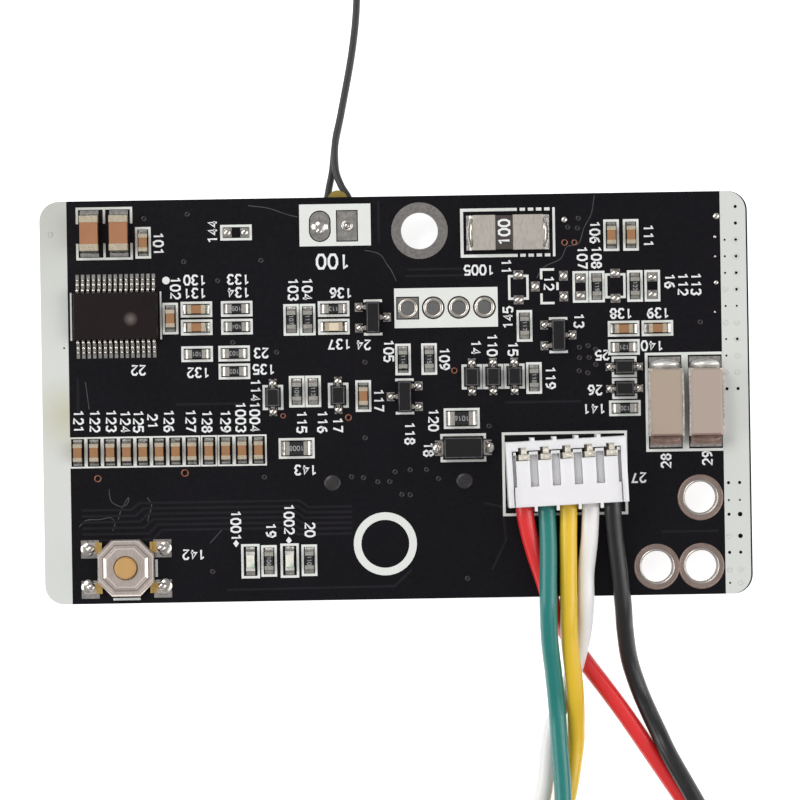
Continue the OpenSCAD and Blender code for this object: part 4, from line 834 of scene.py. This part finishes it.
# Pools: steps away from the switch in X and Y, height over the board, radii, rise, sides, rows
foot_pools = [(0.2, -0.1, 0.22, 0.46, 0.4, 0.3, 20, 4), (0.3, 0.4, 0.03, 0.72, 0.22, 0.18, 20, 4),
              (0.5, -0.1, 0.05, 0.68, 0.76, 0.28, 28, 6)]
for low, high in solids("switch_terminals"):
    x, y = (low + high)[:2] / 2
    side, end = np.sign([x - switch_x, y - switch_y])
    for out, away, lift, radius_x, radius_y, rise, sides, rows in foot_pools:
        place = (x + side * out, y + end * away, board_high + lift)
        drops.append(dome(place, radius_x, radius_y, rise, sides=sides, rows=rows))
print(len(drops), "drops with those on the spare pads and the switch's feet")

# %% Fillets of the shunt, drops on the sensor pads, and specks
shunt_low, shunt_high = box_mm("shunt_terminals")
shunt_y = (shunt_low[1] + shunt_high[1]) / 2
drops.append(dome((shunt_high[0] + 0.15, shunt_y, board_high + 0.1), 0.38, 1.45, 0.8, sides=28, rows=7))
drops.append(dome((shunt_low[0] - 0.15, shunt_y, board_high + 0.1), 0.32, 1.4, 0.75, sides=28, rows=7))
pad_low, pad_high = solids("sensor_pads")[-1]
pad_middle = (*(pad_low + pad_high)[:2] / 2, pad_high[2])
drops += [hoop(pad_middle, 0.4, 0.13, 0.09), dome(pad_middle, 0.24, 0.24, 0.1),
          dome((-6.8, 15.4, board_high + 0.3), 0.34, 0.3, 0.2)]
specks = [(29.65, 16.2, 0.34), (29.5, 14.3, 0.16), (29.55, 10.1, 0.24), (29.4, 7.4, 0.12),
          (15.7, 16.1, 0.32), (29.5, 12.5, 0.12)]
drops += [dome((x, y, board_high), radius, radius, radius * 0.7) for x, y, radius in specks]
as_one("solder_drops", drops, material=drop_solder, slot="solder", smooth=True)
print(len(drops), "drops of solder")

# %% [markdown]
# ## Solder round the fuses
# Each fuse has a wide bright fillet at its upper end and a flat brown one at its lower end, and a
# thin seam of solder shows down both of its sides. The flat one is a bar with a low dome on it,
# because a dome alone has no straight edge.

# %% Fillets and seams of the fuses
bright_fillets, brown_bands, brown_fillets, seams = [], [], [], []
band_half, band_w, band_t = 1.4, 0.96, 0.9
for low, high in solids("fuse_bodies"):
    x, y = (low + high)[:2] / 2
    above, below = high[1] + 0.54, low[1] - 0.52
    bright_fillets.append(dome((x, above, board_high + 0.5), 1.34, 0.5, 1.0, sides=32, rows=7, sink=0.4))
    brown_bands.append(bar([(x - band_half, below), (x + band_half, below)], band_w, board_high,
                           board_high + band_t))
    brown_fillets.append(dome((x, below, board_high + band_t - 0.02), 1.3, 0.36, 0.14, sides=32, rows=6,
                              sink=0.1))
    for edge in (low[0] - 0.08, high[0] + 0.08):
        line = [(edge, low[1] - 0.2), (edge + 0.04, y), (edge, high[1] + 0.2)]
        seams.append(bar(line, 0.16, board_high, high[2] - 0.25))
as_one("bright_fillets", bright_fillets, material=bright_solder, slot="solder", smooth=True)
as_one("brown_bands", brown_bands, material=brown_solder, slot="solder")
as_one("brown_fillets", brown_fillets, material=brown_solder, slot="solder", smooth=True)
as_one("fuse_solder_seams", seams, material=seam_solder, slot="solder")
print(len(seams), "seams,", len(bright_fillets), "bright fillets")

# %% [markdown]
# ## Rims of the tinned rings
# Tin gathers at the edges of a hole, so each header hole has one bright rim, and each power hole a
# bright lip inside and a brown edge outside. A bump in the finish would not catch the lamps from the
# side, so the rims are real rings.

# %% Rims of the header holes and the power holes
hole_rims = [hoop((*(low + high)[:2] / 2, board_high + 0.04), 0.78, 0.16, 0.15, sides=28)
             for low, high in solids("header_rings")]
as_one("header_hole_rims", hole_rims, material=rim_tin, slot="dull_tin", smooth=True)
power_holes = [(27.8, -9.6), (23.7, -15.9), (27.8, -15.9)]
ring_edges = [hoop((x, y, board_high + 0.02), 2.02, 0.08, 0.06, sides=48, around=6) for x, y in power_holes]
ring_lips = [hoop((x, y, board_high + 0.02), 1.56, 0.09, 0.07, sides=48, around=6) for x, y in power_holes]
as_one("power_ring_edges", ring_edges, material=brown_solder, slot="dull_tin", smooth=True)
as_one("power_ring_lips", ring_lips, material=rim_tin, slot="dull_tin", smooth=True)
print(len(hole_rims), "rims of header holes,", len(ring_lips), "lips of power holes")

# %% [markdown]
# ## Inside the wire plug
# The tops of the contacts show through the plug's windows: a folded tab, a tongue behind it and two
# round nips. Between the fingers of the plug its floor lies a little lower and shows white. Only
# the tops are ever seen, so bars and domes on the contacts and the floor are enough.

# %% Contact tops and slot floors
contact_x, contact_y, contact_pitch, contact_climb = 11.55, -5.64, 2, 0.08
contact_tops = []
for i in range(5):
    x, y = contact_x + contact_pitch * i, contact_y + contact_climb * i
    contact_tops += [bar([(x - 0.5, y), (x + 0.5, y + 0.04)], 0.5, board_high + 3, board_high + 4.45),
                     bar([(x, y + 0.3), (x - 0.03, y + 0.9)], 0.55, board_high + 2.6, board_high + 4.55),
                     dome((x, y + 0.55, board_high + 4.55), 0.24, 0.2, 0.12),
                     dome((x + 0.1, y, board_high + 4.45), 0.3, 0.18, 0.14)]
as_one("contact_tops", contact_tops, material=contact_tin, slot="pin_metal")
plug_x, plug_y, plug_turn = 15.45, -7, math.radians(2.3)
cos, sin = math.cos(plug_turn), math.sin(plug_turn)
slot_widths = {-4.78: 0.3, -3: 0.74, -1: 0.74, 1: 0.74, 3: 0.74, 4.78: 0.3}
slot_floors = []
for x, width in slot_widths.items():
    ends = [(plug_x + cos * x - sin * y, plug_y + sin * x + cos * y) for y in (-1.14, 1.74)]
    slot_floors.append(bar(ends, width, board_high + 3.6, board_high + 4.3))
as_one("slot_floors", slot_floors, material=nylon, slot="white_nylon")
print(len(contact_tops), "parts of contacts,", len(slot_floors), "floors of slots")

# %% [markdown]
# ## The snap disc
# Under the button lies a thin domed disc that snaps flat when it is pressed. It is a piece of its
# own here, with a mesh of its own, in place of the rigid disc of the construction model, which
# would be cut by the button.

# %% A thin domed disc
def snap_disc(width, rise, thickness, sides=40, steps=8):
    """A thin disc bent to part of a sphere and turned about its middle. Along the lower arc, out
    from the middle, and back along the upper one, a point lies at radius times sin(a) from the
    middle and at radius times cos(a), less the drop, in height."""
    radius = (width * width / 4 + rise * rise) / (2 * rise)
    angle = np.linspace(0, math.asin(width / 2 / radius), steps + 1)[1:]
    arc = np.stack([np.sin(angle), np.cos(angle)])
    arcs = np.concatenate([radius * arc, (radius + thickness) * arc[:, ::-1]], axis=1)
    reach, height = arcs[0][:, None], arcs[1][:, None] - radius + rise
    around = np.arange(sides) * 2 * math.pi / sides
    rings = np.stack([reach * np.cos(around), reach * np.sin(around), height + 0 * around], axis=-1)
    under_pole, over_pole = 2 * steps * sides, 2 * steps * sides + 1
    last = (2 * steps - 1) * sides
    faces = grid_quads(2 * steps, sides).tolist()
    faces += [[under_pole, (i + 1) % sides, i] for i in range(sides)]
    faces += [[last + i, last + (i + 1) % sides, over_pole] for i in range(sides)]
    return np.vstack([rings.reshape(-1, 3), [0, 0, rise], [0, 0, rise + thickness]]), faces


disc_w, disc_rise, disc_t = 3.6, 0.32, 0.08
disc_foot = box_mm("switch_dome")[0][2]
disc_points, disc_faces = snap_disc(disc_w, disc_rise, disc_t)
disc_points += [switch_x, switch_y, disc_foot - disc_points[:, 2].min()]
snap_dome = as_object("snap_dome", disc_points * MM, disc_faces, material=cover_steel,
                      slot="switch_metal", smooth=True)
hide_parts("switch_dome")
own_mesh(snap_dome)
print("snap disc from", disc_foot.round(3), "to", disc_points[:, 2].max().round(3), "mm high")

# %% [markdown]
# ## Pressed edges of the switch
# The steel cover is pressed into two steps with eight sides. Along each bend a thin bright line is a
# painted highlight, and at the foot of the raised step a dark line is painted shade. The cover's own
# mesh stays as it is, so the lines are thin bars that lie on it.

# %% Edges of the cover
def octagon(side, cut):
    """A closed line of eight corners around the switch: a square of the given side whose corners
    are cut off over the given length."""
    half, inner = side / 2, side / 2 - cut
    corners = [(half, inner), (inner, half), (-inner, half), (-half, inner), (-half, -inner),
               (-inner, -half), (inner, -half), (half, -inner), (half, inner)]
    return [(switch_x + x, switch_y + y) for x, y in corners]


cover_high = box_mm("switch_cover")[1][2]
step_high = cover_high - 0.2
# Painted highlight on the bends, and painted shade along the foot of the raised step
painted_edge_highlight = finish("painted_edge_highlight", srgb(244, 234, 228), roughness=0.22, metallic=0.5, mottle=0.4,
                     mottle_mm=1)
painted_crease_shade = finish("painted_crease_shade", srgb(132, 118, 112), roughness=0.5, metallic=0.4, mottle=0.5,
                     mottle_mm=1)
bright = [bar(octagon(4.92, 1.42), 0.07, step_high - 0.02, step_high + 0.012),
          bar(octagon(3.5, 0.95), 0.08, cover_high - 0.02, cover_high + 0.012)]
as_one("cover_painted_edge_highlights", bright, material=painted_edge_highlight, slot="switch_metal")
as_object("cover_painted_crease_shade", *bar(octagon(4.18, 1.13), 0.1, step_high - 0.02, step_high + 0.01),
          material=painted_crease_shade, slot="switch_metal")
print("cover up to", cover_high.round(2), "mm")

# %% [markdown]
# ## Small holes
# Small plated holes join the two sides of the board. On the end strips some are open and dark and
# some are filled. Elsewhere the mask covers them, and they show as faint dimples or bumps, or it has
# worn off them and leaves a copper ring. Cutting them through would cost many faces for small dark
# dots, so low domes and low rings stand for them, and the dark of an open hole is painted shade.

# %% Holes in the end strips
ink_top = board_high + 0.035


def dark_disc(x, y, radius, level=ink_top):
    """The open mouth of a small hole: a nearly flat dark dome, painted shade for the inside of the hole."""
    return dome((x, y, level), radius, radius, 0.01, sides=12, rows=2, sink=0.02)


def ink_rim(x, y):
    """The raised ring of ink round a filled hole."""
    return hoop((x, y, ink_top), 0.2, 0.06, 0.05, sides=16, around=6)


# One sign for each row, from the top: open in three widths (. d D), open with a rim (o), filled (c)
strip_rows = [17.05 - 1.52 * row for row in range(12)] + [-8.3, -9.9, -11.2, -13.2, -14.7, -16.3, -17.5]
strip_columns = {31.42: "ddoooo.coccdd.DDdcc", 30.4: "  ...c.c..cdd.dcdc."}
hole_radius = {".": 0.12, "d": 0.18, "o": 0.15, "D": 0.26}
strip_holes = [(x, y, mark) for x, marks in strip_columns.items() for y, mark in zip(strip_rows, marks)]
painted_shade_discs = [dark_disc(x, y, hole_radius[mark]) for x, y, mark in strip_holes if mark in hole_radius]
ink_rims = [ink_rim(x, y) for x, y, mark in strip_holes if mark in "oc"]
painted_shade_discs.append(dark_disc(-30.4, 5.04, 0.11))
ink_rims.append(ink_rim(-31.55, 15.5))
as_one("filled_hole_rims", ink_rims, material=ink, slot="white_ink", smooth=True)
print(len(painted_shade_discs), "dark holes,", len(ink_rims), "rims in the ink")

# %% Copper rings
copper = finish("copper", srgb(150, 96, 78), roughness=0.4, metallic=0.6, mottle=0.6, mottle_mm=0.3,
                dark=0.5)
# Near-black discs are painted shade for the inside of the open holes
painted_hole_shade = finish("painted_hole_shade", srgb(16, 16, 17), roughness=0.8, specular=0.05)
worn_holes = [(-27.5, -7, 0.28), (-19.5, -6.6, 0.3), (-4.4, -1.75, 0.26), (5.4, 2.4, 0.24),
              (15.7, 14, 0.25), (16.6, 14, 0.22), (-10.4, -1.5, 0.2)]
rings = [hoop((x, y, board_high), radius, 0.06, 0.03) for x, y, radius in worn_holes]
painted_shade_discs += [dark_disc(x, y, radius * 0.6, board_high) for x, y, radius in worn_holes]
as_one("copper_rings", rings, material=copper, slot="dull_tin", smooth=True)
as_one("small_hole_shade_discs", painted_shade_discs, material=painted_hole_shade, slot="solder_mask")
print(len(rings), "copper rings")

# %% Covered holes
covered = [
    (-22.9, 16.8), (-18.9, 17.15), (-19.3, 12.8), (-12.2, 12.8), (-16.2, 11), (-14.9, 5.3), (-10.9, 4.35),
    (-2.8, 3.3), (-2.9, -3.65), (-12.2, -7.1), (8.5, -2.75), (6.3, -16.7), (-17.1, -15.7), (28.05, 6.5),
    (-4.2, -7.2), (-3.1, -7.3), (-1.8, -7.7), (-0.2, -6.8), (1.2, -6.65), (2.7, -6.65), (3.8, -7.5),
    (-0.7, -7.7), (0.4, -8.9), (1.15, -8.95), (16.9, 4.35), (17.7, 4.5), (18.4, 4.15), (16.9, 3.4),
    (17.8, 3.4), (16.85, 2.2), (17.65, 2), (18.4, 2.75), (16, 15.4), (16.9, 15.3), (17, 16.2)]
large_covered = [(-5.97, -7.73), (6.18, -7.73)]
dimples = [hoop((x, y, board_high), 0.17, 0.09, 0.05, sides=14, around=6) for x, y in covered]
dimples += [dome((x, y, board_high), 0.78, 0.76, 0.14, sides=24, rows=5) for x, y in large_covered]
# The covered holes are a lighter grey than the mask, a painted sheen on their raised bumps
mask_painted_sheen = finish("mask_painted_sheen", srgb(50, 47, 47), roughness=0.26, mottle=0.8, mottle_mm=0.4,
                   specular=0.4)
as_one("covered_holes", dimples, material=mask_painted_sheen, slot="solder_mask", smooth=True)
print(len(dimples), "covered holes")

# %% [markdown]
# ## Tracks and scratches
# Copper tracks run under the mask and raise it a little, so they show as faint lines. Fine grey
# scratches cross it, some of them curved. Both are thin bars that stand a hundredth of a millimetre
# proud, because real relief catches the lamps in every view.

# %% Tracks under the mask
track_w, track_t, track_count = 0.22, 0.012, 6
tracks = [
    [(-29, -9.9 - 0.55 * i), (-24.5 + 0.4 * i, -9.9 - 0.55 * i), (-23.7 + 0.4 * i, -9.3 - 0.5 * i),
     (-9 - 0.2 * i, -9.3 - 0.5 * i), (-8.2 - 0.2 * i, -9.9 - 0.5 * i), (-4.2, -9.9 - 0.5 * i)]
    for i in range(track_count)]
tracks += [
    [(1.2, 11.75), (6.2, 11.75)], [(1, 11.15), (6.6, 11.15)], [(-1.35, 18.1), (-1.35, 14.2)],
    [(-15.8, -17.4), (-0.4, -17.3), (1.2, -15.8)], [(8, -9.8), (9.6, -10.2), (9.9, -13.2), (8.6, -15.9)],
    [(24.2, -12.7), (29.4, -12.7)], [(-29.2, 2.2), (-29.2, -1)], [(10, -0.6), (17, -0.6)],
    [(-20.2, -0.3), (-13.8, -0.3)]]
track_bars = [bar(line, track_w, ink_low, board_high + track_t) for line in tracks]
covered_copper = finish("covered_copper", srgb(28, 26, 31), roughness=0.34, mottle=0.8, mottle_mm=3,
                        specular=0.2)
as_one("tracks", track_bars, material=covered_copper, slot="solder_mask")
print(len(tracks), "tracks")

# %% Scratches
scratch_w, scratch_t = 0.08, 0.008
scratches = [
    [(-13.3, 17.85), (-11.5, 17.6), (-9.8, 17), (-8.8, 16.75)],
    [(-2.7, 13.6), (-1.3, 13.2), (-0.6, 12.2), (-0.25, 11.7), (0.2, 10.7)],
    [(18.5, 18.3), (18.2, 16.6), (17.5, 15.3), (17, 13.9), (15.9, 13.6), (15.3, 12.5), (13.8, 11.8),
     (13.1, 10.8)],
    [(-26.5, -8), (-26.3, -9.1), (-25.4, -9.6), (-24.8, -9.3), (-24.75, -8.8), (-25.4, -9.9),
     (-25.7, -10.8)],
    [(-29.3, -11.4), (-28.6, -10.8), (-27.4, -10.75), (-26.4, -10.6), (-26, -11.1), (-26.2, -11.8)],
    [(-23, -8.8), (-22.6, -9.5), (-22.8, -10.3), (-23, -11)], [(-17.3, -13.1), (-16.2, -11.9)],
    [(-28.5, 1.9), (-28.2, -0.6)], [(21.5, -1.9), (20.4, -1.3), (19.9, -0.4)]]
scratch_grey = finish("scratch_grey", srgb(66, 66, 69), roughness=0.5, mottle=1.0, mottle_mm=0.7,
                      dark=0.35)
worn = []
for line in scratches:
    curved = smooth_route([(x, y, 0) for x, y in line], steps=4)[:, :2]
    worn.append(bar(curved, scratch_w, ink_low, board_high + scratch_t))
as_one("scratches", worn, material=scratch_grey, slot="solder_mask")
print(len(scratches), "scratches")

# %% [markdown]
# ## Bevelled edges of the mouldings
# A moulded body narrows towards its top, and the polished bevel around the top mirrors the lamps. It
# shows as a thin broken line of light, so each body gets a narrow raised line around its top, in a
# lighter grey than the body as a painted highlight.

# %% Edges of diodes and transistors
# The lighter grey of these lines is a painted highlight of the bevels
painted_bevel_highlight = finish("painted_bevel_highlight", srgb(96, 94, 97), roughness=0.4, mottle=1.0, mottle_mm=0.5,
                     dark=0.25)
bevel_insets = {"transistors": 0.13, "small_diodes": 0.12, "clamp_diode": 0.18}
shines = []
for name, inset in bevel_insets.items():
    for low, high in solids(name):
        (x1, y1), (x2, y2) = low[:2] + inset, high[:2] - inset
        loop = [(x1, y1), (x2, y1), (x2, y2), (x1, y2), (x1, y1)]
        shines.append(bar(loop, 0.07, high[2] - 0.02, high[2] + 0.008))
as_one("painted_bevel_highlights", shines, material=painted_bevel_highlight, slot="moulding")
print(len(shines), "bodies with a bright bevel")

# %% [markdown]
# ## Numbers on the parts
# Chip resistors carry a small grey number. It is centred on the top of each and runs along it. A
# larger resistor gets four digits and a smaller one three. The shunt has a larger white number. The
# bars of the printed numbers serve again, at another scale and height.

# %% Numbers on the parts
part_ink = finish("part_ink", srgb(150, 150, 150), roughness=0.5, mottle=0.6, mottle_mm=0.2, dark=0.7)
large_body = 1.2
marks = []
for index, (low, high) in enumerate(solids("chip_resistors")):
    (x, y), (length, width) = (low + high)[:2] / 2, (high - low)[:2]
    turn = over if length > width else down
    first, scale = (1001, 0.48) if max(length, width) > large_body else (101, 0.42)
    marks += number(str(first + index), x, y, turn, scale, high[2])
as_one("resistor_numbers", marks, material=part_ink, slot="white_ink")
low, high = solids("shunt_element")[0]
shunt_number = number("100", *(low + high)[:2] / 2, upward, 1.15, high[2])
as_one("shunt_number", shunt_number, material=number_ink, slot="white_ink")
print(len(marks), "lines on the resistors")

# %% [markdown]
# ## Table and light
# The board lies on a plain pale table. Four large soft lamps and a bright sky light it, two of them
# low at the sides, where they draw long highlights along the wires. For rays that come from the
# camera, or that mirrors and glass send on, the table gives a little light of its own, so that it is
# white where it is lit and keeps a soft shadow. Under the four header holes it gives little, a
# painted shade that stands for the board's shadow on the table, so that they stay grey.

# %% Table
header_x, header_y = (-0.6, 10), (6.6, 9.8)


def table_material(glow=0.8, header_shade_glow=0.14):
    """A matt white, plus a glow that only camera, mirror and glass rays see. In a small oblong
    under the header holes only a part of the glow is left, as painted shade of the board."""
    material = bpy.data.materials.new("table")
    material.use_nodes = True
    shader = material.node_tree.nodes["Principled BSDF"]
    set_inputs(shader, {"Base Color": (0.9, 0.9, 0.9, 1), "Roughness": 0.9, "Specular IOR Level": 0.1,
                        "Emission Color": (1, 1, 1, 1)})

    def maths(operation, first, *values):
        return socket_chain(material, "ShaderNodeMath", first, *values, operation=operation).outputs[0]

    rays = material.node_tree.nodes.new("ShaderNodeLightPath")
    seen = rays.outputs["Is Camera Ray"]
    for name in ("Is Glossy Ray", "Is Transmission Ray"):
        seen = maths("MAXIMUM", seen, rays.outputs[name])
    # Painted shade: the oblong under the header holes keeps only a part of the glow
    oblong = maths("MULTIPLY", within(material, "X", *header_x), within(material, "Y", *header_y))
    lit = maths("MULTIPLY_ADD", oblong, header_shade_glow - 1, 1.0)
    strength = maths("MULTIPLY", maths("MULTIPLY", seen, lit), glow)
    material.node_tree.links.new(strength, shader.inputs["Emission Strength"])
    return material


half = 0.6
table_mesh = bpy.data.meshes.new("table")
corners = [(-half, -half, 0), (half, -half, 0), (half, half, 0), (-half, half, 0)]
table_mesh.from_pydata(corners, [], [(0, 1, 2, 3)])
table = add("table", table_mesh)
table_mesh.materials.append(table_material())
table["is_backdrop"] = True
print("table", 2 * half, "m wide")

# %% Lamps and sky
def lamp(name, place, size, watts):
    """A square soft lamp that faces the middle of the board."""
    data = bpy.data.lights.new(name, "AREA")
    data.energy = watts
    data.size = size
    piece = add(name, data)
    piece.location = place
    piece.rotation_euler = (-Vector(place)).to_track_quat("-Z", "Y").to_euler()
    return piece


lamps = [lamp("lamp_key", (-0.25, 0.3, 0.5), 0.3, 1.45), lamp("lamp_fill", (0.35, -0.25, 0.45), 0.4, 0.6),
         lamp("lamp_left", (-0.42, 0, 0.22), 0.3, 0.85), lamp("lamp_right", (0.42, 0, 0.22), 0.3, 0.85)]
world = bpy.data.worlds.new("sky")
bpy.context.scene.world = world
world.use_nodes = True
set_inputs(world.node_tree.nodes["Background"], {"Color": (1, 1, 1, 1), "Strength": 0.42})
print(len(lamps), "lamps of", round(sum(piece.data.energy for piece in lamps), 2), "W in all")

# %% [markdown]
# ## Sizes
# The dressed model should keep the size of the construction model, so its box is printed.

# %% Print the size of the dressed model
low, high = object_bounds()
print("visual box", [round((b - a) / MM, 1) for a, b in zip(low, high)], "mm")
